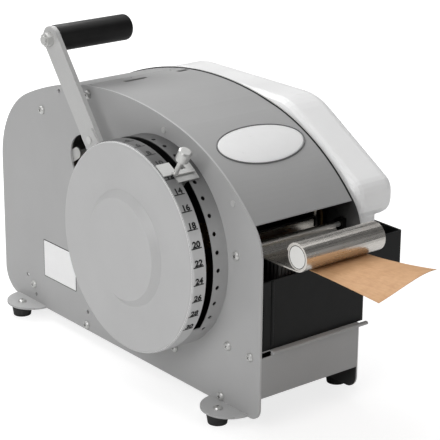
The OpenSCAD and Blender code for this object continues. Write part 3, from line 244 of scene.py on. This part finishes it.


# Where the colour changes, in metres, painted shade and painted highlight included: radii from the lever
# shaft, and places across the machine
paint = {"underDrum": 0.103, "insideRight": 0.0568, "coverGap": 0.0552, "rim": 0.1036, "inside": 0.1042,
         "faceBack": 0.0011, "lipBack": 0.0016, "shadeFrom": 0.035, "shadeTo": 0.093}


# Grey outside, with a painted highlight on the cut edges, and painted shade in black where the drum covers it.
def leftPlate():
    s = sidePlate("leftPlate")
    x, r = axisDistance(s)
    underDrumShade = s.math("MULTIPLY", s.math("LESS_THAN", r, paint["underDrum"]),
                    s.math("LESS_THAN", x, leftPlateX + 0.001))
    return tinted(s, underDrumShade, paintedInsideShade)


# The side that looks into the machine is darker: painted shade, as that face lies in the machine's shadow.
def rightPlate():
    s = sidePlate("rightPlate")
    x, r = axisDistance(s)
    return tinted(s, s.math("LESS_THAN", x, paint["insideRight"]), srgb(56, 56, 56))


# Enamel outside, painted shade in black inside the rim; bands are (from, to, tone) across the rim.
def drumEnamel(name, outer, bands):
    s = enamel(name, outer, 0.38)
    x, r = axisDistance(s)
    rim = s.math("GREATER_THAN", r, paint["rim"])
    for low, high, color in bands:
        band = s.math("MULTIPLY", s.math("GREATER_THAN", x, dialX + low),
                      s.math("LESS_THAN", x, dialX + high))
        tinted(s, s.math("MULTIPLY", band, rim), color)
    # painted shade: the rim is darker towards the top, where less light falls on it
    height = s.node("ShaderNodeSeparateXYZ")
    s.link(s.coords, height.inputs[0])
    top = s.node("ShaderNodeMapRange")
    top.inputs["From Min"].default_value = shaftHeight + paint["shadeFrom"]
    top.inputs["From Max"].default_value = shaftHeight + paint["shadeTo"]
    s.link(height.outputs[2], top.inputs["Value"])
    behindEdge = s.math("GREATER_THAN", x, dialX + paint["lipBack"])
    paintedTopShade = s.math("MULTIPLY", s.math("MULTIPLY", top.outputs["Result"], rim), behindEdge)
    tinted(s, paintedTopShade, srgb(84, 84, 84))
    # painted shade: black inside the rim, where the drum's hollow lies in shade
    inner = s.math("MULTIPLY", s.math("LESS_THAN", r, paint["inside"]),
                   s.math("GREATER_THAN", x, dialX + paint["faceBack"]))
    return tinted(s, inner, paintedInsideShade)


# The cover's enamel, with a painted shadow line for its gap along the right edge.
def coverSheet():
    s = enamel("coverEnamel", srgb(170, 170, 170))
    x, r = axisDistance(s)
    return tinted(s, s.math("GREATER_THAN", x, paint["coverGap"]), srgb(40, 40, 40))


leftEnamel = leftPlate()
rightEnamel = rightPlate()
plateEnamel = enamel("plateEnamel", plateGrey)
# the first band is a painted highlight along the edge of the dial's face
dialEnamel = drumEnamel("dialEnamel", srgb(192, 192, 192),
                        [(0.0001, 0.0016, srgb(236, 236, 236)), (0.0016, 0.02, srgb(210, 210, 210))])
ringEnamel = drumEnamel("ringEnamel", srgb(174, 174, 174), [(0.0, 0.03, srgb(174, 174, 174))])
coverEnamel = coverSheet()
sheetEnamel = enamel("sheetEnamel", srgb(172, 172, 172), 0.45)
innerEnamel = enamel("innerEnamel", srgb(96, 96, 96), 0.5)

steel = metal("groundSteel", srgb(128, 126, 122), 0.34, (0.05, 1, 1), 0.000006)
zinc = metal("zincPlate", srgb(196, 196, 194), 0.4, (1, 1, 1), 0.000005, 0.8)
zincBright = metal("zincBright", srgb(218, 218, 216), 0.36, (1, 1, 1), 0.000005, 0.7)
armZinc = metal("armZinc", srgb(206, 206, 205), 0.46, (1, 1, 1), 0.000005, 0.3)
darkSteel = metal("darkSteel", srgb(46, 45, 43), 0.4, (0.05, 1, 1), 0.000006)
bladeSteel = metal("bladeSteel", srgb(196, 192, 184), 0.26, (0.05, 1, 1), 0.000004)
gearSteel = metal("gearSteel", srgb(84, 82, 80), 0.5)
bronze = metal("bronze", srgb(112, 92, 62), 0.42)
nickel = metal("nickel", srgb(226, 222, 216), 0.26, (0.03, 1, 1), 0.00001)
knurled = metal("knurledSteel", srgb(110, 110, 110), 0.5)


# The weight's bar: its axis behind and above the shaft, and the radii of its plug and seam
barEnd = {"y": -0.185, "z": 0.0323, "seam": 0.0111, "plug": 0.0104}


# A tube closed by a pale plug: the plug's face, a dark seam round it, and the tube's wall.
def barMetal():
    s = metal("barMetal", srgb(226, 222, 216), 0.28, (0.03, 1, 1), 0.00001)
    x, r = axisDistance(s, barEnd["y"], shaftHeight + barEnd["z"])
    tinted(s, s.math("LESS_THAN", r, barEnd["seam"]), srgb(46, 46, 46))
    plug = s.math("LESS_THAN", r, barEnd["plug"])
    tinted(s, plug, srgb(236, 235, 232))
    return s.set(Metallic=s.math("SUBTRACT", 1.0, s.math("MULTIPLY", plug, 0.75)))


dress("left_side_plate", leftEnamel)
dress("right_side_plate", rightEnamel)
dress("rear_cover", plateEnamel)
dress("dial_cap", dialEnamel)
dress("index_ring", ringEnamel)
dress("top_cover", coverEnamel)
dress("tank_shelf", sheetEnamel)
for n in ("floor_pan", "cover_rest_strips", "bottle_ledge", "cradle_brackets", "pressure_arm"):
    dress(n, innerEnamel)
for n in ("knife_bed", "upper_knife"):
    dress(n, darkSteel)
for n in ("lower_blade", "upper_blade", "knife_guide_posts"):
    dress(n, bladeSteel)
for n in ("tape_guide", "main_shaft", "idler_shaft", "feed_shaft",
          "support_roller_front", "support_roller_rear"):
    dress(n, steel)
for n in ("hinge_rods", "roller_spindles", "spring_anchor", "shelf_nuts", "return_spring"):
    dress(n, zinc)
for n in ("lever_arm", "lever_hub_plate", "plate_rivets"):
    dress(n, armZinc)
for n in ("lever_rivets", "grip_bolt", "stop_carriage", "stop_plunger",
          "plate_screws", "cross_screws", "foot_screws"):
    dress(n, zincBright)
for n in ("drive_sector", "spring_crank", "feed_pinion"):
    dress(n, gearSteel)
for n in ("bearing_bushes", "idler_gear", "idler_pinion", "knife_link"):
    dress(n, bronze)
dress("weight_sheet", nickel)
dress("weight_bar", barMetal())
dress("feed_roller", knurled)


def rubber(name, color, rough):
    s = Shade(name)
    grain = s.noise(1800, 3, 0.6)
    dust = s.noise(60, 4, 0.65)
    s.set(Base_Color=s.ramp(dust, [(0.35, color), (0.8, tone(color, 1.6))]),
          Roughness=s.spread(grain, rough - 0.08, rough + 0.1),
          Normal=s.bump(grain, 0.00006, 0.6))
    return s


feetRubber = rubber("feetRubber", srgb(34, 34, 34), 0.62)
gripPlastic = rubber("gripPlastic", srgb(20, 20, 20), 0.42).set(Specular_IOR_Level=0.3)
tankPlastic = rubber("tankPlastic", srgb(13, 14, 14), 0.42).set(Specular_IOR_Level=0.22)
dress("rubber_feet", feetRubber)
dress("pressure_roller", feetRubber)
dress("lever_grip", gripPlastic)
for n in ("water_tank", "brush_holder", "bottle_cap"):
    dress(n, tankPlastic)


# Milky blown plastic: soft light through the wall, partly a painted glow, with faint waves left by the mould.
def blownPlastic():
    s = Shade("blownPlastic")
    wave = s.noise(22, 2, 0.4)
    grain = s.noise(1500, 2, 0.5)
    s.set(Base_Color=s.ramp(wave, [(0.3, srgb(248, 248, 248)), (0.7, srgb(253, 253, 253))]),
          Roughness=s.spread(wave, 0.3, 0.42),
          Normal=s.bump(grain, 0.00003, 0.5, s.bump(wave, 0.0006, 0.5)))
    s.set(Subsurface_Weight=0.25, Subsurface_Radius=(0.012, 0.012, 0.012), Subsurface_Scale=1.0)
    # painted glow: a weak white emission, though the bottle is no lamp
    s.set(Emission_Color=(1.0, 1.0, 1.0, 1.0), Emission_Strength=0.06)
    return s


dress("water_bottle", blownPlastic())


# Brown kraft paper: long pale and dark fibres, faint cross bands and a dry sheen.
def kraft():
    s = Shade("kraftPaper")
    fibre = s.noise(420, 5, 0.7, s.mapped((1, 0.16, 1)))
    cloud = s.noise(70, 4, 0.6)
    fine = s.noise(2400, 2, 0.6)
    mixed = s.math("ADD", s.math("MULTIPLY", fibre, 0.55), s.math("MULTIPLY", cloud, 0.45))
    s.set(Base_Color=s.ramp(mixed, [(0.32, srgb(196, 147, 103)), (0.55, srgb(213, 167, 122)),
                                    (0.75, srgb(223, 182, 139))]),
          Roughness=s.spread(fibre, 0.55, 0.75),
          Normal=s.bump(fine, 0.00003, 0.5, s.bump(fibre, 0.00004, 0.6)))
    return s


paper = kraft()
for n in ("tape_web", "tape_strip"):
    dress(n, paper)


# The roll's axis behind and above the shaft, and how many turns of paper show in a metre
rollEnd = {"y": 0.158, "z": -0.0424, "turns": 3200}


# The roll's ends show its turns as thin rings; the outside is plain kraft.
def rollPaper():
    s = Shade("rollPaper")
    x, r = axisDistance(s, rollEnd["y"], shaftHeight + rollEnd["z"])
    ring = s.node("ShaderNodeTexNoise", noise_dimensions="1D")
    ring.inputs["Scale"].default_value = rollEnd["turns"]
    s.link(r, ring.inputs["W"])
    fibre = s.noise(300, 4, 0.6)
    both = s.math("ADD", s.math("MULTIPLY", ring.outputs["Fac"], 0.6), s.math("MULTIPLY", fibre, 0.4))
    s.set(Base_Color=s.ramp(both, [(0.3, srgb(170, 128, 90)), (0.7, srgb(214, 172, 132))]),
          Roughness=0.7, Normal=s.bump(both, 0.00008, 0.5))
    return s


dress("tape_roll", rollPaper())


def board():
    s = Shade("greyBoard")
    f = s.noise(240, 5, 0.7)
    s.set(Base_Color=s.ramp(f, [(0.3, srgb(140, 120, 96)), (0.7, srgb(172, 152, 124))]), Roughness=0.8,
          Normal=s.bump(f, 0.0001, 0.5))
    return s


def hair():
    s = Shade("bristleHair")
    f = s.noise(2200, 3, 0.6, s.mapped((1, 1, 0.05)))
    s.set(Base_Color=s.ramp(f, [(0.3, srgb(18, 18, 18)), (0.7, srgb(52, 50, 48))]), Roughness=0.6,
          Normal=s.bump(f, 0.0003, 0.8))
    return s


dress("tape_core", board())
dress("brush_bristles", hair())
print("materials")


# New pieces

# Points and faces go into a closed mesh with outward faces, which rides on its body
def addMesh(name, verts, faces, shade, body, smooth=False):
    data = bpy.data.meshes.new(name)
    data.from_pydata(np.asarray(verts, float).reshape(-1, 3).tolist(), [], faces)
    data.update()
    bm = bmesh.new()
    bm.from_mesh(data)
    bmesh.ops.recalc_face_normals(bm, faces=bm.faces)
    bm.to_mesh(data)
    bm.free()
    data.polygons.foreach_set("use_smooth", [smooth] * len(data.polygons))
    obj = bpy.data.objects.new(name, data)
    bpy.context.scene.collection.objects.link(obj)
    data.materials.append(shade.mat)
    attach(obj, body)
    return obj


# Quads between neighbouring rings of n points; a closed set joins its last ring to its first
def ringQuads(rings, n, closed=False):
    j, i = np.meshgrid(np.arange(rings if closed else rings - 1), np.arange(n), indexing="ij")
    after, above = (i + 1) % n, (j + 1) % rings
    quads = np.stack([j * n + i, j * n + after, above * n + after, above * n + i], -1)
    return quads.reshape(-1, 4).tolist()


# A closed tube through rings: point i of ring j joins to its neighbours, and both ends are capped
def loftRings(rings):
    m, n = len(rings), len(rings[0])
    caps = [list(range(n))[::-1], list(range((m - 1) * n, m * n))]
    return rings, ringQuads(m, n) + caps


def enamelWhite(name, color, rough):
    s = Shade(name)
    mottle = s.noise(90, 3, 0.5)
    fine = s.noise(2400, 2, 0.5)
    s.set(Base_Color=s.ramp(mottle, [(0.3, tone(color, 0.975)), (0.7, color)]),
          Roughness=s.spread(mottle, rough, rough + 0.08), Normal=s.bump(fine, 0.00002, 0.5))
    return s


# black ink for print, also painted shade for the screws' cross recesses
inkAndShadeBlack = rubber("inkAndShadeBlack", srgb(12, 12, 12), 0.6)
rimGrey = enamel("rimGrey", srgb(112, 113, 114), 0.4)
badgeWhite = enamelWhite("badgeWhite", srgb(250, 250, 250), 0.25)
labelWhite = enamelWhite("labelWhite", srgb(253, 253, 253), 0.5)

# The cover's front arc: its centre behind and above the shaft, and its radius
coverArc = {"y": 0.028, "z": -0.101913, "r": 0.2282}


# A point by its place across the machine, its distance along the arc forward of the crown, and
# its height above the sheet: the arc distance over the radius is the angle from straight up
def onCover(across, along, lift):
    a = np.pi / 2 + along / coverArc["r"]
    r = coverArc["r"] + lift
    return np.stack([across, coverArc["y"] + r * np.cos(a),
                     shaftHeight + coverArc["z"] + r * np.sin(a)], -1)


badge = {"x": -0.0009, "along": 0.1036, "wide": 0.0515, "high": 0.0266, "rim": 0.0011, "dome": 0.0011,
         "seat": 0.00005, "points": 96}


# Ovals one inside the other: half width times cosine across, half height times sine along the arc
def badgeRings(wide, high, lift):
    turn = np.linspace(0, 2 * np.pi, badge["points"], endpoint=False)
    return onCover(badge["x"] + np.outer(wide, np.cos(turn)), badge["along"] + np.outer(high, np.sin(turn)),
                   np.array(lift)[:, None])


# A slightly domed oval plate in a slim rim; the dome falls with the square of the distance out
def makeBadge():
    rim, seat = badge["rim"], badge["seat"]
    inset = np.array([0, 0, 0.0003, rim, rim + 0.0002, rim + 0.0002])
    rings = badgeRings(badge["wide"] - inset, badge["high"] - inset,
                       [seat, 0.0008, 0.0011, 0.0011, 0.0007, seat])
    addMesh("badgeRim", rings, ringQuads(len(rings), badge["points"], True), rimGrey, "cover", True)
    share = np.array([1, 1, 0.97, 0.9, 0.75, 0.5, 0.25, 0.03])
    lift = 0.0006 + badge["dome"] * (1 - share ** 2)
    lift[:2] = seat, 0.0005
    rings = badgeRings((badge["wide"] - rim - 0.0003) * share, (badge["high"] - rim - 0.0003) * share, lift)
    verts, faces = loftRings(rings)
    addMesh("badgePlate", verts, faces, badgeWhite, "cover", True)


makeBadge()

# The label's edges behind the shaft and above the counter, its dark edge and its thickness
sideLabel = {"y": (0.1492, 0.2106), "z": (shaftHeight - 0.1026, shaftHeight - 0.0602), "edge": 0.0009,
             "edgeCorner": 0.0012, "corner": 0.0006, "edgeThick": 0.00012, "thick": 0.00014,
             "cornerSteps": 5, "gap": 0.00002}


# A thin sheet on the left plate: four quarter circles make its outline, set once at the plate and
# once at its thickness
def roundedSheet(inset, corner, xFace, thick):
    low = np.array([sideLabel["y"][0], sideLabel["z"][0]]) + inset + corner
    high = np.array([sideLabel["y"][1], sideLabel["z"][1]]) - inset - corner
    centres = np.array([(high[0], high[1]), (low[0], high[1]), (low[0], low[1]), (high[0], low[1])])
    a = np.radians(np.array([[0], [90], [180], [270]]) + np.linspace(0, 90, sideLabel["cornerSteps"] + 1))
    outline = (centres[:, None] + corner * np.stack([np.cos(a), np.sin(a)], -1)).reshape(-1, 2)
    rings = np.empty((2, len(outline), 3))
    rings[..., 0] = xFace - np.array([[sideLabel["gap"]], [thick]])
    rings[..., 1:] = outline
    return loftRings(rings)


def makeLabel():
    verts, faces = roundedSheet(0, sideLabel["edgeCorner"], leftPlateX, sideLabel["edgeThick"])
    addMesh("labelEdge", verts, faces, inkAndShadeBlack, "frame")
    verts, faces = roundedSheet(sideLabel["edge"], sideLabel["corner"], leftPlateX - sideLabel["edgeThick"],
                                sideLabel["thick"])
    addMesh("label", verts, faces, labelWhite, "frame")


makeLabel()


# A point on the dial's rim: the radius times cosine and sine of its direction, which is in
# radians from the rear, through the top
def rimPoint(x, direction, lift):
    r = dialRadius + lift
    return np.stack(np.broadcast_arrays(x, r * np.cos(direction), shaftHeight + r * np.sin(direction)), -1)


dialMarks = {"numbers": np.arange(4, 31, 2), "step": math.radians(4.8), "twelveAt": math.radians(126.5),
             "tickFrom": 0.0022, "tickTo": 0.0142, "tickHalf": 0.0005, "tickLow": 0.00003, "tickHigh": 0.00014,
             "size": 0.0088, "bold": 0.00036, "textAt": 0.0086, "above": 0.0010, "squeeze": 0.92,
             "thick": 0.00006, "textLift": 0.0001}


def tickDirection(number):
    return dialMarks["twelveAt"] + (number - 12) * dialMarks["step"]


# The six faces of a box whose first four corners are its lower face
boxFaces = np.array([(3, 2, 1, 0), (4, 5, 6, 7), (0, 1, 5, 4), (1, 2, 6, 5), (2, 3, 7, 6), (3, 0, 4, 7)])


# Short printed bars across the number band, bent to the rim, all in one mesh
def makeTicks():
    direction = tickDirection(dialMarks["numbers"])[:, None, None]
    half = dialMarks["tickHalf"] / dialRadius
    x = dialX + np.array([dialMarks[k] for k in ("tickFrom", "tickTo", "tickTo", "tickFrom")])
    lift = np.array([[dialMarks["tickLow"]], [dialMarks["tickHigh"]]])
    verts = rimPoint(x, direction + half * np.array([-1, -1, 1, 1]), lift)
    faces = 8 * np.arange(len(direction))[:, None, None] + boxFaces
    addMesh("dialTicks", verts, faces.reshape(-1, 4).tolist(), inkAndShadeBlack, "frame")


makeTicks()


# A number as flat type, made a mesh: its points, and its faces' corners
def typeMesh(text):
    curve = bpy.data.curves.new("number", "FONT")
    curve.body = text
    curve.size = dialMarks["size"]
    curve.offset = dialMarks["bold"]
    curve.align_x = "CENTER"
    curve.resolution_u = 4
    curve.extrude = dialMarks["thick"]
    obj = bpy.data.objects.new("number", curve)
    bpy.context.scene.collection.objects.link(obj)
    bpy.context.view_layer.update()
    data = bpy.data.meshes.new_from_object(obj.evaluated_get(bpy.context.evaluated_depsgraph_get()))
    bpy.data.objects.remove(obj)
    bpy.data.curves.remove(curve)
    bm = bmesh.new()
    bm.from_mesh(data)
    bmesh.ops.remove_doubles(bm, verts=bm.verts, dist=1e-7)
    bm.to_mesh(data)
    bm.free()
    points = np.empty(3 * len(data.vertices))
    data.vertices.foreach_get("co", points)
    corners = [tuple(p.vertices) for p in data.polygons]
    bpy.data.meshes.remove(data)
    return points.reshape(-1, 3), corners


# Each number's points are laid on the rim above its tick: height over the radius is the angle
def makeNumbers():
    verts, faces, base = [], [], 0
    for number in dialMarks["numbers"]:
        points, corners = typeMesh(str(number))
        x, y, z = points.T
        a = tickDirection(number) - (y * dialMarks["squeeze"] + dialMarks["above"]) / dialRadius
        verts.append(rimPoint(dialX + dialMarks["textAt"] + x, a, dialMarks["textLift"] + z))
        faces += [tuple(base + i for i in corner) for corner in corners]
        base += len(points)
    addMesh("dialNumbers", np.concatenate(verts), faces, inkAndShadeBlack, "frame")


makeNumbers()
print("badge, label, dial marks")


# A closed ring: a profile of (across, radius) points turned about an axis that runs across, so a
# point lies at its radius times the cosine and sine of the turn
def lathe(profile, centre, count=64):
    turn = np.linspace(0, 2 * np.pi, count, endpoint=False)
    x, r = np.array(profile).T[:, :, None]
    verts = np.stack(np.broadcast_arrays(x, centre[0] + r * np.cos(turn), centre[1] + r * np.sin(turn)), -1)
    return verts, ringQuads(len(profile), count, True)


# The sleeve's rounds at the arm and at the far end, its bore, the hollow over the bolt, and its
# wall past the bolt
sleeve = {"near": 0.001, "far": 0.0052, "bore": 0.0062, "cup": 0.0079, "cupDepth": 0.0032, "wall": 0.0014,
          "dimple": 0.0004, "flat": 0.004, "sharp": math.radians(40)}


# The grip's sleeve: quarter circles for its rounds, between the straight parts of its profile
def makeGrip():
    low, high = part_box("lever_grip")
    centre = ((low[1] + high[1]) / 2, (low[2] + high[2]) / 2)
    r, x0, x1 = (high[1] - low[1]) / 2, low[0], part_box("grip_bolt")[1][0] + sleeve["wall"]
    near, far = sleeve["near"], sleeve["far"]
    a = np.pi / 2 * np.arange(1, 5) / 4
    nearRound = np.stack([x0 + near * (1 - np.cos(a)), r - near * (1 - np.sin(a))], -1)
    a = np.pi / 2 * np.arange(11) / 10
    farRound = np.stack([x1 - far * (1 - np.sin(a)), r - far * (1 - np.cos(a))], -1)
    inner = x1 - sleeve["wall"] + 0.0003
    cupEnd = x1 - sleeve["wall"] - sleeve["cupDepth"]
    profile = np.concatenate([[(x0, sleeve["bore"]), (x0, r - near)], nearRound, farRound,
                              [(x1, sleeve["flat"]), (x1, sleeve["dimple"]), (inner, sleeve["dimple"]),
                               (inner, sleeve["cup"]), (cupEnd, sleeve["cup"]), (cupEnd, sleeve["bore"])]])
    verts, faces = lathe(profile, centre)
    obj = addMesh("gripSleeve", verts, faces, gripPlastic, "grip", True)
    obj.data.set_sharp_from_angle(angle=sleeve["sharp"])
    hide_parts("lever_grip")


makeGrip()


# A copy of a node's mesh with its loose triangles joined
def merged(name):
    data = nodes[name].data.copy()
    bm = bmesh.new()
    bm.from_mesh(data)
    bmesh.ops.remove_doubles(bm, verts=bm.verts, dist=1e-6)
    bm.to_mesh(data)
    bm.free()
    return data


# The separate solids of a node: each point takes the lowest number among those it is joined to,
# until none changes
def islands(name):
    data = merged(name)
    points = np.empty(3 * len(data.vertices))
    data.vertices.foreach_get("co", points)
    ends = np.empty(2 * len(data.edges), int)
    data.edges.foreach_get("vertices", ends)
    bpy.data.meshes.remove(data)
    points, ends = points.reshape(-1, 3), ends.reshape(-1, 2)
    label = np.arange(len(points))
    changed = True
    while changed:
        lowest = label.copy()
        for side in (0, 1):
            np.minimum.at(lowest, ends[:, side], label[ends].min(1))
        changed = (lowest != label).any()
        label = lowest
    return [points[label == k] for k in np.unique(label)]


cross = {"arm": 0.0019, "half": 0.00034, "low": 0.00001, "high": 0.00006, "crown": 2e-5}


# A cross of painted shade for each screw's recess, laid on its flat crown: one outline, turned a little more
# on each screw
def makeCrosses():
    arm, half = cross["arm"], cross["half"]
    outline = np.array([(half, half), (half, arm), (-half, arm), (-half, half), (-arm, half), (-arm, -half),
                        (-half, -half), (-half, -arm), (half, -arm), (half, -half), (arm, -half), (arm, half)])
    n = len(outline)
    verts, faces = [], []
    for name in ("plate_screws", "cross_screws", "foot_screws"):
        axis = 2 if name == "foot_screws" else 0
        others = [0, 1] if axis == 2 else [1, 2]
        for k, part in enumerate(islands(name)):
            side = 1 if axis == 2 or part[:, 0].mean() > 0 else -1
            top = (part[:, axis] * side).max()
            middle = part[part[:, axis] * side > top - cross["crown"]].mean(0)
            turn = 0.5 + 1.3 * k
            rings = np.empty((2, n, 3))
            rings[..., axis] = side * (top + np.array([[cross["low"]], [cross["high"]]]))
            spin = np.array([(math.cos(turn), math.sin(turn)), (-math.sin(turn), math.cos(turn))])
            rings[..., others] = middle[others] + outline @ spin
            base = 2 * n * len(verts)
            verts.append(rings)
            faces += [[base + i for i in face] for face in loftRings(rings)[1]]
    addMesh("screwCrossShade", np.array(verts), faces, inkAndShadeBlack, "frame")


makeCrosses()


# The return spring as one joined mesh, in place of the node
def makeSpring():
    obj = bpy.data.objects.new("springCoil", merged("return_spring"))
    bpy.context.scene.collection.objects.link(obj)
    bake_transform(obj)
    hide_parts("return_spring")


makeSpring()
print("grip, crosses, spring")


# Stage and light
# The floor's radius and corners, and its white, which fades in with distance from the machine
stage = {"radius": 4.0, "corners": 48, "white": 1.32, "fadeFrom": 0.25, "fadeTo": 0.7, "nearShare": 0.6}


def makeStage():
    turn = 2 * np.pi * np.arange(stage["corners"]) / stage["corners"]
    verts = stage["radius"] * np.stack([np.cos(turn), np.sin(turn), 0 * turn], -1)
    data = bpy.data.meshes.new("floor")
    data.from_pydata(verts.tolist(), [], [tuple(range(stage["corners"]))])
    floor = bpy.data.objects.new("floor", data)
    bpy.context.scene.collection.objects.link(floor)
    s = Shade("floorPaper")
    s.set(Base_Color=(0.93, 0.93, 0.93, 1.0), Roughness=0.9)
    s.bsdf.inputs["Specular IOR Level"].default_value = 0.1
    out = next(n for n in s.tree.nodes if n.type == "OUTPUT_MATERIAL")
    glow = s.node("ShaderNodeEmission")
    glow.inputs["Color"].default_value = (1, 1, 1, 1)
    glow.inputs["Strength"].default_value = stage["white"]
    far = s.node("ShaderNodeVectorMath", operation="LENGTH")
    s.link(s.coords, far.inputs[0])
    fade = s.node("ShaderNodeMapRange")
    fade.inputs["From Min"].default_value = stage["fadeFrom"]
    fade.inputs["From Max"].default_value = stage["fadeTo"]
    fade.inputs["To Min"].default_value = stage["nearShare"]
    s.link(far.outputs["Value"], fade.inputs["Value"])
    path = s.node("ShaderNodeLightPath")
    both = s.math("MULTIPLY", fade.outputs["Result"], path.outputs["Is Camera Ray"])
    mix = s.node("ShaderNodeMixShader")
    s.link(both, mix.inputs["Fac"])
    s.link(s.bsdf.outputs[0], mix.inputs[1])
    s.link(glow.outputs[0], mix.inputs[2])
    s.link(mix.outputs[0], out.inputs["Surface"])
    data.materials.append(s.mat)


makeStage()


def areaLight(name, at, towards, size, watts):
    data = bpy.data.lights.new(name, "AREA")
    data.shape = "RECTANGLE"
    data.size, data.size_y = size
    data.energy = watts
    obj = bpy.data.objects.new(name, data)
    bpy.context.scene.collection.objects.link(obj)
    a, b = np.array(at, float), np.array(towards, float)
    back = (a - b) / np.linalg.norm(a - b)
    right = np.cross((0, 0, 1), back)
    right = right / np.linalg.norm(right) if np.linalg.norm(right) > 1e-4 else np.array((1.0, 0, 0))
    up = np.cross(back, right)
    obj.matrix_world = Matrix([[right[i], up[i], back[i], a[i]] for i in range(3)] + [[0, 0, 0, 1]])


lamps = {
    "keyLeft": {"at": (-2.2, -0.7, 1.5), "towards": (0, 0.05, 0.12), "size": (1.8, 1.6), "watts": 30.5},
    "topRear": {"at": (0.2, 1.6, 2.0), "towards": (0, 0.05, 0.15), "size": (2.0, 1.4), "watts": 34.5},
    "topSoft": {"at": (0.2, 0.2, 2.4), "towards": (0, 0, 0), "size": (2.6, 2.6), "watts": 21},
    "fillFront": {"at": (0.9, -2.4, 1.0), "towards": (0, 0, 0.15), "size": (1.6, 1.2), "watts": 2.6},
}
for name, lamp in lamps.items():
    areaLight(name, **lamp)


def makeWorld():
    world = bpy.data.worlds.new("studio")
    bpy.context.scene.world = world
    world.use_nodes = True
    tree = world.node_tree
    tree.nodes.clear()
    out = tree.nodes.new("ShaderNodeOutputWorld")
    soft = tree.nodes.new("ShaderNodeBackground")
    soft.inputs["Color"].default_value = (1, 1, 1, 1)
    soft.inputs["Strength"].default_value = 0.1
    plain = tree.nodes.new("ShaderNodeBackground")
    plain.inputs["Strength"].default_value = 1.05
    plain.inputs["Color"].default_value = (1, 1, 1, 1)
    path = tree.nodes.new("ShaderNodeLightPath")
    mix = tree.nodes.new("ShaderNodeMixShader")
    tree.links.new(path.outputs["Is Camera Ray"], mix.inputs["Fac"])
    tree.links.new(soft.outputs[0], mix.inputs[1])
    tree.links.new(plain.outputs[0], mix.inputs[2])
    tree.links.new(mix.outputs[0], out.inputs["Surface"])


makeWorld()
bpy.context.scene.view_settings.view_transform = "Standard"
print("stage and light")
